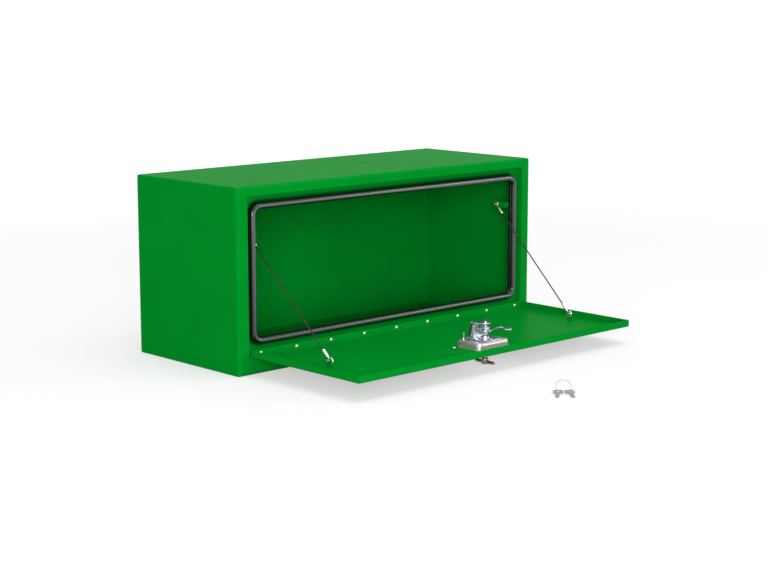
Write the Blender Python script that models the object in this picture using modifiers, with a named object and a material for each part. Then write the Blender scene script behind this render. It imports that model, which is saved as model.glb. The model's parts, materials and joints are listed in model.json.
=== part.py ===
"""Truck bed tool box: a folded steel cabinet with a drop-down door, at real size in metres.

The origin is the centre of the cabinet's bottom face. +X runs along the width, to the right as seen from the
front, +Y towards the back and +Z up. At rest the door stands open and level on its two lanyards, the latch
handle hangs out of its dish, and the keys lie on the ground in front.
"""

import math

import bmesh
import bpy
from mathutils import Matrix, Vector

# Cabinet
BOX_WIDTH = 0.9144
BOX_DEPTH = 0.3556
BOX_HEIGHT = 0.4064
SHEET = 0.002
FRONT_BEND = 0.008
LONG_BEND = 0.004
BACK_FLANGE = 0.014

# Gap between pieces that rest on each other, and how far a cutter reaches past what it cuts
FIT = 0.0003
OVERRUN = 0.004

# Mouth, whose edge is folded inwards
MOUTH_SIDE_BORDER = 0.0282
MOUTH_TOP_BORDER = 0.0209
MOUTH_BOTTOM_BORDER = 0.0357
MOUTH_RETURN = 0.020

# Frame behind the mouth: a floor for the door's flanges to close on, and a lip that carries the seal
POCKET_DEPTH = 0.017
LIP_SIDE_INSET = 0.020
LIP_TOP_INSET = 0.0235
LIP_BOTTOM_INSET = 0.0353
LIP_RADIUS = 0.020
LIP_LENGTH = 0.0106

# Door seal: a rubber trim that grips the lip, with a bulb in front
SEAL_WIDTH = 0.014
SEAL_BULB = 0.007
SEAL_DOOR_GAP = 0.0004

# Door: a pan with a flange all round
DOOR_GAP = 0.003
DOOR_FLANGE = 0.016
DOOR_BEND = 0.003

# Continuous hinge
KNUCKLE_RADIUS = 0.0036
KNUCKLE_COUNT = 17
KNUCKLE_GAP = 0.0004
KNUCKLE_RELIEF_SHARE = 1.5
LEAF_START_SHARE = 0.25
HINGE_LEAF = 0.0015
HINGE_LEAF_HEIGHT = 0.0144
HINGE_END_INSET = 0.001
HINGE_PIN_RADIUS = 0.0016
RIVET_COUNT = 9
RIVET_END_INSET = 0.024
RIVET_RISE = 0.008
RIVET_HEAD_RADIUS = 0.0038
RIVET_HEAD_HEIGHT = 0.0016
RIVET_SHANK_RADIUS = 0.0016
RIVET_TAIL_RADIUS = 0.0025
RIVET_TAIL_HEIGHT = 0.0008

# Latch dish, drawn from stainless sheet, and where the handle's spindle goes through it
SPINDLE_X = 0.017
SPINDLE_TO_FREE_EDGE = 0.0737
DISH_HALF_WIDTH = 0.054
DISH_TO_FREE_EDGE = 0.033
DISH_TO_HINGE = 0.047
DISH_DEPTH = 0.0174
DISH_SHEET = 0.0012
DISH_CORNER = 0.014
DISH_ROOT_RADIUS = 0.0025
DISH_CROWN_RADIUS = 0.005
DISH_DRAFT = 0.0015
DISH_SIDE_FLANGE = 0.012
DISH_END_FLANGE = 0.0068
DISH_HOLE_GAP = 0.0012
DISH_RIVET_BACK = 0.011
STUD_RADIUS = 0.002
STUD_LENGTH = 0.0165
STUD_TIP_SHARES = (0.7, 0.5)
STUD_FLANGE_SHARE = 2
STUD_INSET_X = 0.015
STUD_INSET_Y = 0.019

# Spindle, its bush, and the stack that it carries
SPINDLE_RADIUS = 0.006
SPINDLE_HEAD_RADIUS = 0.009
SPINDLE_HEAD = 0.0038
SPINDLE_COLLAR_RADIUS = 0.008
SPINDLE_THREAD_RADIUS = 0.005
SPINDLE_NOSE_RADIUS = 0.004
SPINDLE_NOSE = 0.006
CHEEK_WIDTH = 0.010
CHEEK_THICKNESS = 0.0035
BUSH_FLANGE_RADIUS = 0.016
BUSH_FLANGE = 0.0025
BUSH_RADIUS = 0.0095
BUSH_HEIGHT = 0.0064
CAM_NUT_RADIUS = 0.0098
CAM_NUT_HEIGHT = 0.006

# Cam: a flat hub and arm, cranked down to a spear-shaped nose that passes behind the frame
CAM_LENGTH = 0.088
CAM_SHEET = 0.003
CAM_HUB_RADIUS = 0.016
CAM_WAIST_HALF = 0.004
CAM_WAIST_REACH = 0.050
CAM_CRANK_REACH = 0.062
CAM_SPEAR_HALF = 0.011
CAM_SPEAR_REACH = 0.073
CAM_TIP_HALF = 0.0015
CAM_STRIKE_GAP = 0.0024
CAM_RISE = 0.008
CAM_HUB_STEPS = 14
CAM_HUB_OPEN_STEPS = 3

# Strike that the cam turns behind, folded from sheet and set on the frame's back over the opening
STRIKE_HALF = 0.026
STRIKE_DEPTH = 0.007
STRIKE_INSET = 0.0015
STRIKE_BEND = 0.003

# Bracket over the dish, folded from zinc-plated sheet
BRACKET_SHEET = 0.002
BRACKET_LEFT = 0.029
BRACKET_RIGHT = 0.035
BRACKET_LEAN = 0.012
BRACKET_BACK = 0.026
BRACKET_HEIGHT = 0.0377
BRACKET_FOOT_FRONT = 0.020
BRACKET_TONGUE_HALF = 0.014
BRACKET_TONGUE_FRONT = 0.012
BRACKET_BEND = 0.003
GUSSET_DEPTH = 0.024
GUSSET_EDGE_SHARES = (0.14, 0.88)
GUSSET_TOP_SHARE = 0.4

# Folding tee handle and its lock
TEE_PIN_DROP = 0.0108
TEE_REACH = 0.038
TEE_PIN_RADIUS = 0.00175
TEE_TONGUE_HALF = 0.0035
TEE_TONGUE_RADIUS = 0.0045
TEE_TONGUE_LENGTH = 0.007
TEE_STEM_RADIUS = 0.005
TEE_BAR_HALF = 0.0295
TEE_BAR_RADIUS = 0.0042
TEE_BAR_END_RADIUS = 0.0032
TEE_BOSS_RADIUS = 0.0075
TEE_BOSS_HALF = 0.005
TEE_BOSS_EDGE = 0.0006
TEE_BOSS_TAPER = 0.0025
TEE_BOSS_CAP = 0.0033
TEE_STEM_TOP_SHARE = 0.9
LOCK_RADIUS = 0.0055
LOCK_LENGTH = 0.009
KEYWAY_WIDTH = 0.0012
KEYWAY_HEIGHT = 0.0066
KEYWAY_DEPTH = 0.005

# Lanyards: steel cables with an eyelet swaged on each end
CABLE_RADIUS = 0.0015
CABLE_POINT_STEP = 0.009
CABINET_EYE_INSET = 0.041
CABINET_EYE_DEPTH = 0.0473
CABINET_EYE_DROP = 0.0905
DOOR_EYE_INSET = 0.052
DOOR_EYE_REACH = 0.2027
DOOR_EYE_RISE = 0.0155
EYE_RADIUS = 0.0075
EYE_BORE = 0.0028
EYE_SHEET = 0.0026
NECK_RADIUS = 0.0013
NECK_END = 0.0115
FERRULE_START = 0.014
FERRULE_END = 0.031
FERRULE_RADIUS = 0.0032
FERRULE_MOUTH_RADIUS = 0.002
FERRULE_TAPER = 0.0016
SCREW_RADIUS = 0.0024
SCREW_HEAD_RADIUS = 0.0046
SCREW_HEAD_HEIGHT = 0.0026
NUT_RADIUS = 0.0046
NUT_HEIGHT = 0.0035
TAB_HALF = 0.007
TAB_FOOT = 0.014

# Keys, cut from flat blanks, on a wire ring
KEYS_X = -0.056
KEYS_Y = -0.737
KEYS_HEADING = math.radians(-43)
KEY_TURNS = (math.radians(-9), math.radians(6))
KEY_THICKNESS = 0.0022
KEY_HEAD_HALF = 0.0105
KEY_HEAD_LENGTH = 0.021
KEY_HEAD_CHAMFER = 0.005
KEY_HOLE_BACK = 0.0062
KEY_HOLE_RADIUS = 0.0045
KEY_HOLE_HALF = 0.0015
KEY_HOLE_HEIGHT = 0.0044
KEY_BLADE_HALF = 0.0041
KEY_BLADE_LENGTH = 0.028
KEY_CUT = 0.0018
KEY_CUT_SHARES = (0.5, 1.0, 0.3, 0.8, 0.45)
KEY_CUT_START_SHARE = 1.5
KEY_CUT_SPAN_SHARES = (0.3, 0.6)
RING_RADIUS = 0.016
RING_WIRE = 0.0008
RING_TILT = math.radians(45)

# Facets
BEND_STEPS = 3
CORNER_STEPS = 5
TURN_STEPS = 24
SMALL_TURN_STEPS = 16
PIN_STEPS = 12
WELD = 0.000001

# Places that follow from the sizes above
FRONT = -BOX_DEPTH / 2
BACK = BOX_DEPTH / 2
HALF_WIDTH = BOX_WIDTH / 2
MOUTH_X = HALF_WIDTH - MOUTH_SIDE_BORDER
MOUTH_LOW = MOUTH_BOTTOM_BORDER
MOUTH_HIGH = BOX_HEIGHT - MOUTH_TOP_BORDER
LIP_X = MOUTH_X - LIP_SIDE_INSET
LIP_LOW = MOUTH_LOW + LIP_BOTTOM_INSET
LIP_HIGH = MOUTH_HIGH - LIP_TOP_INSET
POCKET_FLOOR = FRONT + POCKET_DEPTH
FRAME_BACK = POCKET_FLOOR + SHEET
HINGE_Z = MOUTH_LOW + FIT + KNUCKLE_RADIUS
HINGE = Vector((0, FRONT, HINGE_Z))
DOOR_X = MOUTH_X - DOOR_GAP
DOOR_REAR = FRONT - KNUCKLE_RADIUS - FIT
DOOR_FREE = FRONT - (MOUTH_HIGH - DOOR_GAP - HINGE_Z)
SKIN_TOP = HINGE_Z + SHEET
SPINDLE_Y = DOOR_FREE + SPINDLE_TO_FREE_EDGE
DISH_TOP = HINGE_Z + DISH_DEPTH
DISH_CEILING = DISH_TOP - DISH_SHEET
DISH_FLANGE_LOW = HINGE_Z - FIT - DISH_SHEET
FOOT_LOW = DISH_TOP + FIT
FOOT_TOP = FOOT_LOW + BRACKET_SHEET
BUSH_LOW = FOOT_TOP + FIT
COLLAR_LOW = BUSH_LOW + BUSH_HEIGHT + FIT
STRIKE_BACK = FRAME_BACK + FIT + STRIKE_DEPTH
CAM_NOSE_LOW = HINGE_Z + STRIKE_BACK - FRONT + CAM_STRIKE_GAP
CAM_LOW = CAM_NOSE_LOW + CAM_RISE
CAM_TOP = CAM_LOW + CAM_SHEET
TONGUE_LOW = FOOT_LOW + BRACKET_HEIGHT - BRACKET_SHEET
TEE_PIN_Z = DISH_CEILING - TEE_PIN_DROP
TEE_BAR_Z = TEE_PIN_Z - TEE_REACH
TEE_PIN_HALF = TEE_TONGUE_HALF + FIT + CHEEK_THICKNESS + FIT
DOOR_EYE = Vector((MOUTH_X - DOOR_EYE_INSET, FRONT - DOOR_EYE_REACH, SKIN_TOP + DOOR_EYE_RISE))
CABINET_EYE = Vector(
    (MOUTH_X - CABINET_EYE_INSET, FRONT + CABINET_EYE_DEPTH, MOUTH_HIGH - CABINET_EYE_DROP)
)

COLOURS = {
    "green_paint": ((0.002, 0.238, 0.024), 0.42, 0.0),
    "black_rubber": ((0.012, 0.013, 0.013), 0.6, 0.0),
    "zinc_plate": ((0.62, 0.66, 0.74), 0.3, 1.0),
    "stainless": ((0.55, 0.52, 0.50), 0.3, 1.0),
    "black_chrome": ((0.06, 0.055, 0.05), 0.3, 1.0),
    "rivet_steel": ((0.75, 0.78, 0.75), 0.35, 1.0),
    "cable_steel": ((0.16, 0.17, 0.16), 0.4, 1.0),
    "nickel": ((0.70, 0.69, 0.67), 0.25, 1.0),
}


def clear_scene():
    for obj in list(bpy.data.objects):
        bpy.data.objects.remove(obj, do_unlink=True)


def new_collection(name):
    collection = bpy.data.collections.new(name)
    bpy.context.scene.collection.children.link(collection)
    return collection


def make_materials():
    for name, (colour, roughness, metallic) in COLOURS.items():
        material = bpy.data.materials.new(name)
        material.use_nodes = True
        shader = material.node_tree.nodes["Principled BSDF"]
        shader.inputs["Base Color"].default_value = (*colour, 1)
        shader.inputs["Roughness"].default_value = roughness
        shader.inputs["Metallic"].default_value = metallic


def object_of(name, mesh, material=None):
    """An object for the mesh: a part where a material is given, or else a helper that no render shows."""
    obj = bpy.data.objects.new(name, mesh)
    if material:
        mesh.materials.clear()
        mesh.materials.append(bpy.data.materials[material])
        PARTS.objects.link(obj)
    else:
        obj.hide_render = True
        obj.display_type = "WIRE"
        HELPERS.objects.link(obj)
    return obj


def object_from(name, shape, material=None):
    """An object from a bmesh, which is freed."""
    mesh = bpy.data.meshes.new(name)
    shape.to_mesh(mesh)
    shape.free()
    mesh.shade_smooth()
    mesh.set_sharp_from_angle(angle=math.radians(30))
    return object_of(name, mesh, material)


def box_shape(low, high):
    shape = bmesh.new()
    bmesh.ops.create_cube(shape, size=1)
    low, high = Vector(low), Vector(high)
    bmesh.ops.scale(shape, vec=high - low, verts=shape.verts)
    bmesh.ops.translate(shape, vec=(low + high) / 2, verts=shape.verts)
    return shape


def rod_shape(radius, start, end, steps=SMALL_TURN_STEPS):
    """A cylinder between two points."""
    shape = bmesh.new()
    start, end = Vector(start), Vector(end)
    along = end - start
    bmesh.ops.create_cone(
        shape, cap_ends=True, segments=steps, radius1=radius, radius2=radius, depth=along.length
    )
    turn = along.to_track_quat("Z", "Y").to_matrix().to_4x4()
    bmesh.ops.transform(shape, matrix=Matrix.Translation((start + end) / 2) @ turn, verts=shape.verts)
    return shape


def boolean(obj, operation, other):
    modifier = obj.modifiers.new(operation.title(), "BOOLEAN")
    modifier.operation = operation
    modifier.object = other


def cut(obj, shape):
    boolean(obj, "DIFFERENCE", object_from(obj.name + "_cutter", shape))


def join(obj, shape):
    boolean(obj, "UNION", object_from(obj.name + "_piece", shape))


def facing(shape, direction):
    """The faces of a shape that look along a direction."""
    shape.normal_update()
    return [face for face in shape.faces if face.normal.dot(Vector(direction)) > 0.9]


def bend_edges(obj, shape_edges, width, steps=BEND_STEPS):
    """Rounds chosen edges, each to its share of the width, once the object is evaluated."""
    mesh = obj.data
    weights = mesh.attributes.new("bevel_weight_edge", "FLOAT", "EDGE")
    for index, share in shape_edges.items():
        weights.data[index].value = share
    modifier = obj.modifiers.new("Bend", "BEVEL")
    modifier.limit_method = "WEIGHT"
    modifier.width = width
    modifier.segments = steps


def thicken(obj, thickness, offset=-1):
    modifier = obj.modifiers.new("Sheet", "SOLIDIFY")
    modifier.thickness = thickness
    modifier.offset = offset
    modifier.use_even_offset = True


def edges_where(obj, share_of):
    """Edge index to bend share, for the edges whose two ends a rule gives a share."""
    found = {}
    for edge in obj.data.edges:
        share = share_of(*(obj.data.vertices[i].co for i in edge.vertices))
        if share:
            found[edge.index] = share
    return found


def edge_face_count(obj, edge):
    return sum(edge.key in face.edge_keys for face in obj.data.polygons)


def rounded_rectangle(low, high, radius, steps=CORNER_STEPS):
    """Points round a rectangle with round corners, anticlockwise."""
    corners = (
        (high[0] - radius, high[1] - radius, 0),
        (low[0] + radius, high[1] - radius, 1),
        (low[0] + radius, low[1] + radius, 2),
        (high[0] - radius, low[1] + radius, 3),
    )
    points = []
    for x, y, quarter in corners:
        for step in range(steps + 1):
            angle = math.pi / 2 * (quarter + step / steps)
            points.append((x + radius * math.cos(angle), y + radius * math.sin(angle)))
    return points


def rectangle(low, high):
    return [(low[0], low[1]), (high[0], low[1]), (high[0], high[1]), (low[0], high[1])]


def in_xy(z):
    return Matrix.Translation((0, 0, z))


def in_xz(y):
    """Puts an outline's two axes along X and Z."""
    return Matrix.Translation((0, y, 0)) @ Matrix.Rotation(math.pi / 2, 4, "X")


def in_yz(x):
    """Puts an outline's two axes along Y and Z."""
    return Matrix(((0, 0, 1, x), (1, 0, 0, 0), (0, 1, 0, 0), (0, 0, 0, 1)))


def outline_curve(name, outlines):
    curve = bpy.data.curves.new(name, "CURVE")
    curve.dimensions = "2D"
    for outline in outlines:
        spline = curve.splines.new("POLY")
        spline.points.add(len(outline) - 1)
        for point, (x, y) in zip(spline.points, outline):
            point.co = (x, y, 0, 1)
        spline.use_cyclic_u = True
    return curve


def mesh_of_curve(curve):
    """The curve's evaluated shape as a closed bmesh, in the curve's own space."""
    obj = object_of(curve.name + "_curve", curve)
    bpy.context.view_layer.update()
    mesh = bpy.data.meshes.new_from_object(obj.evaluated_get(bpy.context.evaluated_depsgraph_get()))
    shape = bmesh.new()
    shape.from_mesh(mesh)
    bmesh.ops.remove_doubles(shape, verts=shape.verts, dist=WELD)
    bpy.data.objects.remove(obj, do_unlink=True)
    bpy.data.meshes.remove(mesh)
    return shape


def plate_shape(name, outlines, thickness, place):
    """A flat plate: the outlines, a second one being a hole, centred on the plane that place gives."""
    curve = outline_curve(name, outlines)
    curve.fill_mode = "BOTH"
    curve.extrude = thickness / 2
    shape = mesh_of_curve(curve)
    bmesh.ops.transform(shape, matrix=place, verts=shape.verts)
    return shape


def turned(name, profile, start, along, material, steps=SMALL_TURN_STEPS):
    """A turned piece. The profile's (radius, distance) pairs run from the far end back to the start."""
    mesh = bpy.data.meshes.new(name)
    points = [(radius, 0, distance) for radius, distance in profile]
    mesh.from_pydata(points, [(i, i + 1) for i in range(len(points) - 1)], [])
    obj = object_of(name, mesh, material)
    screw = obj.modifiers.new("Turn", "SCREW")
    screw.steps = screw.render_steps = steps
    screw.use_merge_vertices = True
    screw.merge_threshold = WELD * 10
    turn = Vector(along).to_track_quat("Z", "Y").to_matrix().to_4x4()
    obj.matrix_world = Matrix.Translation(Vector(start)) @ turn
    return obj


def ring_profile(outer, inner, low, high):
    """A plain ring's section, closed, for a turned piece with a bore."""
    return [(inner, high), (outer, high), (outer, low), (inner, low), (inner, high)]


def loft_shape(levels):
    """Skins successive loops of points, and closes the last one."""
    shape = bmesh.new()
    loops = [[shape.verts.new(point) for point in level] for level in levels]
    for outer, inner in zip(loops, loops[1:]):
        for i in range(len(outer)):
            j = (i + 1) % len(outer)
            shape.faces.new((outer[i], outer[j], inner[j], inner[i]))
    shape.faces.new(loops[-1])
    return shape


def arc(radius, start, end, steps):
    """Points on an arc round the origin, its angles in quarter turns."""
    for step in range(steps + 1):
        angle = math.pi / 2 * (start + (end - start) * step / steps)
        yield radius * math.cos(angle), radius * math.sin(angle)


# Cabinet


def cabinet_wrapper():
    shape = box_shape((-HALF_WIDTH, FRONT, 0), (HALF_WIDTH, BACK, BOX_HEIGHT))
    bmesh.ops.delete(shape, geom=facing(shape, (0, 1, 0)), context="FACES_ONLY")
    front = facing(shape, (0, -1, 0))
    bmesh.ops.inset_region(shape, faces=front, thickness=MOUTH_TOP_BORDER)
    for vert in front[0].verts:
        vert.co.x = math.copysign(MOUTH_X, vert.co.x)
        vert.co.z = MOUTH_HIGH if vert.co.z > BOX_HEIGHT / 2 else MOUTH_LOW
    inner = bmesh.ops.extrude_discrete_faces(shape, faces=front)["faces"]
    bmesh.ops.translate(shape, vec=(0, MOUTH_RETURN, 0), verts=inner[0].verts)
    bmesh.ops.delete(shape, geom=inner, context="FACES_ONLY")
    wrapper = object_from("cabinet_wrapper", shape, "green_paint")

    def on_outside(point):
        return abs(abs(point.x) - HALF_WIDTH) < WELD and min(point.z, BOX_HEIGHT - point.z) < WELD

    def share(a, b):
        if not (on_outside(a) and on_outside(b)):
            return 0
        if a.y < 0 and b.y < 0:
            return 1
        return LONG_BEND / FRONT_BEND if a.y * b.y < 0 else 0

    bend_edges(wrapper, edges_where(wrapper, share), FRONT_BEND)
    thicken(wrapper, SHEET)
    return wrapper


def back_panel():
    inset = SHEET + FIT
    low = (-HALF_WIDTH + inset, BACK - BACK_FLANGE, inset)
    high = (HALF_WIDTH - inset, BACK, BOX_HEIGHT - inset)
    shape = box_shape(low, high)
    bmesh.ops.delete(shape, geom=facing(shape, (0, -1, 0)), context="FACES_ONLY")
    panel = object_from("back_panel", shape, "green_paint")
    bent = edges_where(panel, lambda a, b: 1 if max(a.y, b.y) > BACK - WELD else 0)
    bend_edges(panel, bent, LONG_BEND)
    thicken(panel, SHEET)
    return panel


def lip_outline(grow):
    """The lip's centre line in the plane of the mouth, grown outwards by a distance."""
    low = (-LIP_X - grow, LIP_LOW - grow)
    high = (LIP_X + grow, LIP_HIGH + grow)
    return rounded_rectangle(low, high, LIP_RADIUS + grow)


def door_frame():
    edge = rectangle((-MOUTH_X + FIT, MOUTH_LOW + FIT), (MOUTH_X - FIT, MOUTH_HIGH - FIT))
    floor = [edge, lip_outline(-SHEET / 2)]
    middle = (POCKET_FLOOR + FRAME_BACK) / 2
    frame = object_from(
        "door_frame", plate_shape("frame_floor", floor, SHEET, in_xz(middle)), "green_paint"
    )
    lip = [lip_outline(SHEET / 2), lip_outline(-SHEET / 2)]
    lip_middle = FRAME_BACK - LIP_LENGTH / 2 - SHEET / 2
    join(frame, plate_shape("frame_lip", lip, LIP_LENGTH + SHEET, in_xz(lip_middle)))
    return frame


def door_seal():
    """The trim's section, in distances outwards and back from the cabinet's front, swept round the lip."""
    half = SEAL_WIDTH / 2
    slot = SHEET / 2 + FIT
    front = SHEET + SEAL_DOOR_GAP
    lip_front = POCKET_DEPTH + SHEET - LIP_LENGTH - SHEET
    section = [(half * x, front + SEAL_BULB - SEAL_BULB * y) for x, y in arc(1, 0, 2, 2 * CORNER_STEPS)]
    section += [
        (-half, POCKET_DEPTH + SHEET - FIT),
        (-slot, POCKET_DEPTH + SHEET - FIT),
        (-slot, lip_front - FIT),
        (slot, lip_front - FIT),
        (slot, POCKET_DEPTH - FIT),
        (half, POCKET_DEPTH - FIT),
    ]
    section = [(-across, -back) for across, back in section]
    outline = object_of("seal_section", outline_curve("seal_section", [section]))
    curve = outline_curve("door_seal", [lip_outline(0)])
    curve.bevel_mode = "OBJECT"
    curve.bevel_object = outline
    seal = object_of("door_seal", curve, "black_rubber")
    seal.matrix_world = in_xz(FRONT)
    return seal


def latch_strike():
    """A channel, open upwards: a leg on the frame's back, a sill, and the leg that the cam catches."""
    near, far = FRAME_BACK + FIT, STRIKE_BACK
    low, high = LIP_HIGH + STRIKE_INSET, MOUTH_HIGH - STRIKE_INSET
    shape = bmesh.new()
    rows = [
        [shape.verts.new((SPINDLE_X + side * STRIKE_HALF, y, z)) for side in (-1, 1)]
        for y, z in ((near, high), (near, low), (far, low), (far, high))
    ]
    for (a, b), (c, d) in zip(rows, rows[1:]):
        shape.faces.new((a, c, d, b))
    strike = object_from("latch_strike", shape, "green_paint")
    bent = edges_where(strike, lambda a, b: 1 if max(a.z, b.z) < low + WELD and a.y == b.y else 0)
    bend_edges(strike, bent, STRIKE_BEND)
    thicken(strike, SHEET)
    return strike


# Hinge


def knuckle_span(index):
    length = 2 * (DOOR_X - HINGE_END_INSET) / KNUCKLE_COUNT
    start = -DOOR_X + HINGE_END_INSET + index * length
    return start + KNUCKLE_GAP / 2, start + length - KNUCKLE_GAP / 2


def hinge_leaf(name, low, high, first):
    """A leaf with every second knuckle, from the given one, rolled round the pin."""
    leaf = object_from(name, box_shape(low, high), "green_paint")
    reach = KNUCKLE_RADIUS + FIT
    wide = KNUCKLE_GAP * KNUCKLE_RELIEF_SHARE
    for index in range(1 - first, KNUCKLE_COUNT, 2):
        start, end = knuckle_span(index)
        near = (start - wide, HINGE.y - reach, HINGE.z - reach)
        cut(leaf, box_shape(near, (end + wide, HINGE.y + reach, HINGE.z + reach)))
    for index in range(first, KNUCKLE_COUNT, 2):
        start, end = knuckle_span(index)
        ends = ((start, HINGE.y, HINGE.z), (end, HINGE.y, HINGE.z))
        join(leaf, rod_shape(KNUCKLE_RADIUS, *ends, PIN_STEPS))
    ends = ((-HALF_WIDTH, HINGE.y, HINGE.z), (HALF_WIDTH, HINGE.y, HINGE.z))
    cut(leaf, rod_shape(HINGE_PIN_RADIUS + FIT, *ends, PIN_STEPS))
    return leaf


def rivet_xs():
    end = DOOR_X - RIVET_END_INSET
    return [-end + 2 * end * i / (RIVET_COUNT - 1) for i in range(RIVET_COUNT)]


def rivet_hole(x):
    z = HINGE_Z + RIVET_RISE
    ends = ((x, DOOR_REAR - SHEET - OVERRUN, z), (x, FRONT, z))
    return rod_shape(RIVET_SHANK_RADIUS + FIT, *ends, PIN_STEPS)


def hinge():
    end = DOOR_X - HINGE_END_INSET
    start = KNUCKLE_RADIUS * LEAF_START_SHARE
    cabinet_leaf = hinge_leaf(
        "hinge_leaf_cabinet",
        (-end, FRONT + start, HINGE_Z - KNUCKLE_RADIUS),
        (end, POCKET_FLOOR - FIT, HINGE_Z - KNUCKLE_RADIUS + HINGE_LEAF),
        0,
    )
    door_leaf = hinge_leaf(
        "hinge_leaf_door",
        (-end, FRONT - KNUCKLE_RADIUS, HINGE_Z + start),
        (end, FRONT - KNUCKLE_RADIUS + HINGE_LEAF, HINGE_Z + HINGE_LEAF_HEIGHT),
        1,
    )
    for x in rivet_xs():
        cut(door_leaf, rivet_hole(x))
    ends = ((-end, HINGE.y, HINGE.z), (end, HINGE.y, HINGE.z))
    pin = object_from("hinge_pin", rod_shape(HINGE_PIN_RADIUS, *ends, PIN_STEPS), "nickel")
    return cabinet_leaf, door_leaf, pin


def rivet_profile(head, shank):
    """A dome head at the far end, the shank, and an upset tail at the start."""
    radius, height = head
    dome = [(radius * x, shank + height * y) for x, y in arc(1, 1, 0, 3)]
    return dome + [
        (RIVET_SHANK_RADIUS, shank),
        (RIVET_SHANK_RADIUS, 0),
        (RIVET_TAIL_RADIUS, 0),
        (RIVET_TAIL_RADIUS, -RIVET_TAIL_HEIGHT / 2),
        (RIVET_SHANK_RADIUS, -RIVET_TAIL_HEIGHT),
        (0, -RIVET_TAIL_HEIGHT),
    ]


def hinge_rivets():
    """The shank goes through the flange and the leaf, with a gap under the head and the tail."""
    shank = SHEET + HINGE_LEAF + 3 * FIT
    profile = rivet_profile((RIVET_HEAD_RADIUS, RIVET_HEAD_HEIGHT), shank)
    start_y = FRONT - KNUCKLE_RADIUS + HINGE_LEAF + FIT
    rivets = []
    for i, x in enumerate(rivet_xs()):
        start = (x, start_y, HINGE_Z + RIVET_RISE)
        rivets.append(turned(f"hinge_rivet_{i + 1}", profile, start, (0, -1, 0), "rivet_steel", PIN_STEPS))
    return rivets


# Door


def dish_outline(grow, radius, stretch=(0, 0)):
    low = (
        SPINDLE_X - DISH_HALF_WIDTH - grow - stretch[0],
        SPINDLE_Y - DISH_TO_FREE_EDGE - grow - stretch[1],
    )
    high = (
        SPINDLE_X + DISH_HALF_WIDTH + grow + stretch[0],
        SPINDLE_Y + DISH_TO_HINGE + grow + stretch[1],
    )
    return rounded_rectangle(low, high, radius)


def dish_rivet_places():
    reach = DISH_HALF_WIDTH + DISH_SIDE_FLANGE / 2
    y = SPINDLE_Y + DISH_TO_HINGE - DISH_RIVET_BACK
    return {"left": (SPINDLE_X - reach, y), "right": (SPINDLE_X + reach, y)}


def dish_rivet_hole(x, y):
    ends = ((x, y, DISH_FLANGE_LOW - OVERRUN), (x, y, SKIN_TOP + OVERRUN))
    return rod_shape(RIVET_SHANK_RADIUS + FIT, *ends, PIN_STEPS)


def door_pan():
    shape = box_shape((-DOOR_X, DOOR_FREE, HINGE_Z), (DOOR_X, DOOR_REAR, HINGE_Z + DOOR_FLANGE))
    bmesh.ops.delete(shape, geom=facing(shape, (0, 0, 1)), context="FACES_ONLY")
    pan = object_from("door_pan", shape, "green_paint")
    bent = edges_where(pan, lambda a, b: 1 if min(a.z, b.z) < HINGE_Z + WELD else 0)
    bend_edges(pan, bent, DOOR_BEND)
    thicken(pan, SHEET)
    hole = dish_outline(DISH_HOLE_GAP, DISH_CORNER + DISH_HOLE_GAP)
    cut(pan, plate_shape("dish_hole", [hole], SHEET + 2 * OVERRUN, in_xy(HINGE_Z + SHEET / 2)))
    for x in rivet_xs():
        cut(pan, rivet_hole(x))
    for place in dish_rivet_places().values():
        cut(pan, dish_rivet_hole(*place))
    return pan


def latch_dish():
    """Lofted from the flange's edge up to the ceiling, on the side that the handle lies in."""
    inside = -DISH_SHEET
    level = [(inside, (DISH_SIDE_FLANGE + DISH_SHEET, DISH_END_FLANGE + DISH_SHEET), 0)]
    root = DISH_ROOT_RADIUS
    for x, y in arc(root, -1, 0, 3):
        level.append((inside + root - x, (0, 0), root + y))
    height = DISH_CEILING - DISH_FLANGE_LOW
    crown = DISH_CROWN_RADIUS
    for x, y in arc(crown, 0, 1, 3):
        level.append((inside - DISH_DRAFT - crown + x, (0, 0), height - crown + y))
    corner = DISH_CORNER
    levels = []
    for grow, stretch, rise in level:
        radius = max(corner + grow, DISH_SHEET)
        outline = dish_outline(grow, radius, stretch)
        levels.append([(x, y, DISH_FLANGE_LOW + rise) for x, y in outline])
    dish = object_from("latch_dish", loft_shape(levels), "stainless")
    thicken(dish, DISH_SHEET, 1)
    ends = ((SPINDLE_X, SPINDLE_Y, DISH_CEILING - OVERRUN), (SPINDLE_X, SPINDLE_Y, DISH_TOP + OVERRUN))
    cut(dish, rod_shape(SPINDLE_RADIUS + FIT, *ends, TURN_STEPS))
    for place in dish_rivet_places().values():
        cut(dish, dish_rivet_hole(*place))
    return dish


def dish_rivets():
    """Upset on the outside, with the round head on the door's inner side."""
    shank = DISH_SHEET + SHEET + 3 * FIT
    profile = rivet_profile((RIVET_HEAD_RADIUS, RIVET_HEAD_HEIGHT), shank)
    rivets = []
    for side, (x, y) in dish_rivet_places().items():
        start = (x, y, DISH_FLANGE_LOW - FIT)
        rivets.append(turned(f"dish_rivet_{side}", profile, start, (0, 0, 1), "rivet_steel", PIN_STEPS))
    return rivets


def dish_stud():
    x = SPINDLE_X - DISH_HALF_WIDTH + STUD_INSET_X
    y = SPINDLE_Y + DISH_TO_HINGE - STUD_INSET_Y
    profile = [
        (0, STUD_LENGTH),
        (STUD_RADIUS * STUD_TIP_SHARES[0], STUD_LENGTH),
        (STUD_RADIUS, STUD_LENGTH - STUD_RADIUS * STUD_TIP_SHARES[1]),
        (STUD_RADIUS, DISH_SHEET),
        (STUD_RADIUS * STUD_FLANGE_SHARE, DISH_SHEET),
        (STUD_RADIUS * STUD_FLANGE_SHARE, 0),
        (0, 0),
    ]
    return turned("dish_stud", profile, (x, y, FOOT_LOW), (0, 0, 1), "zinc_plate")


# Latch


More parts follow.
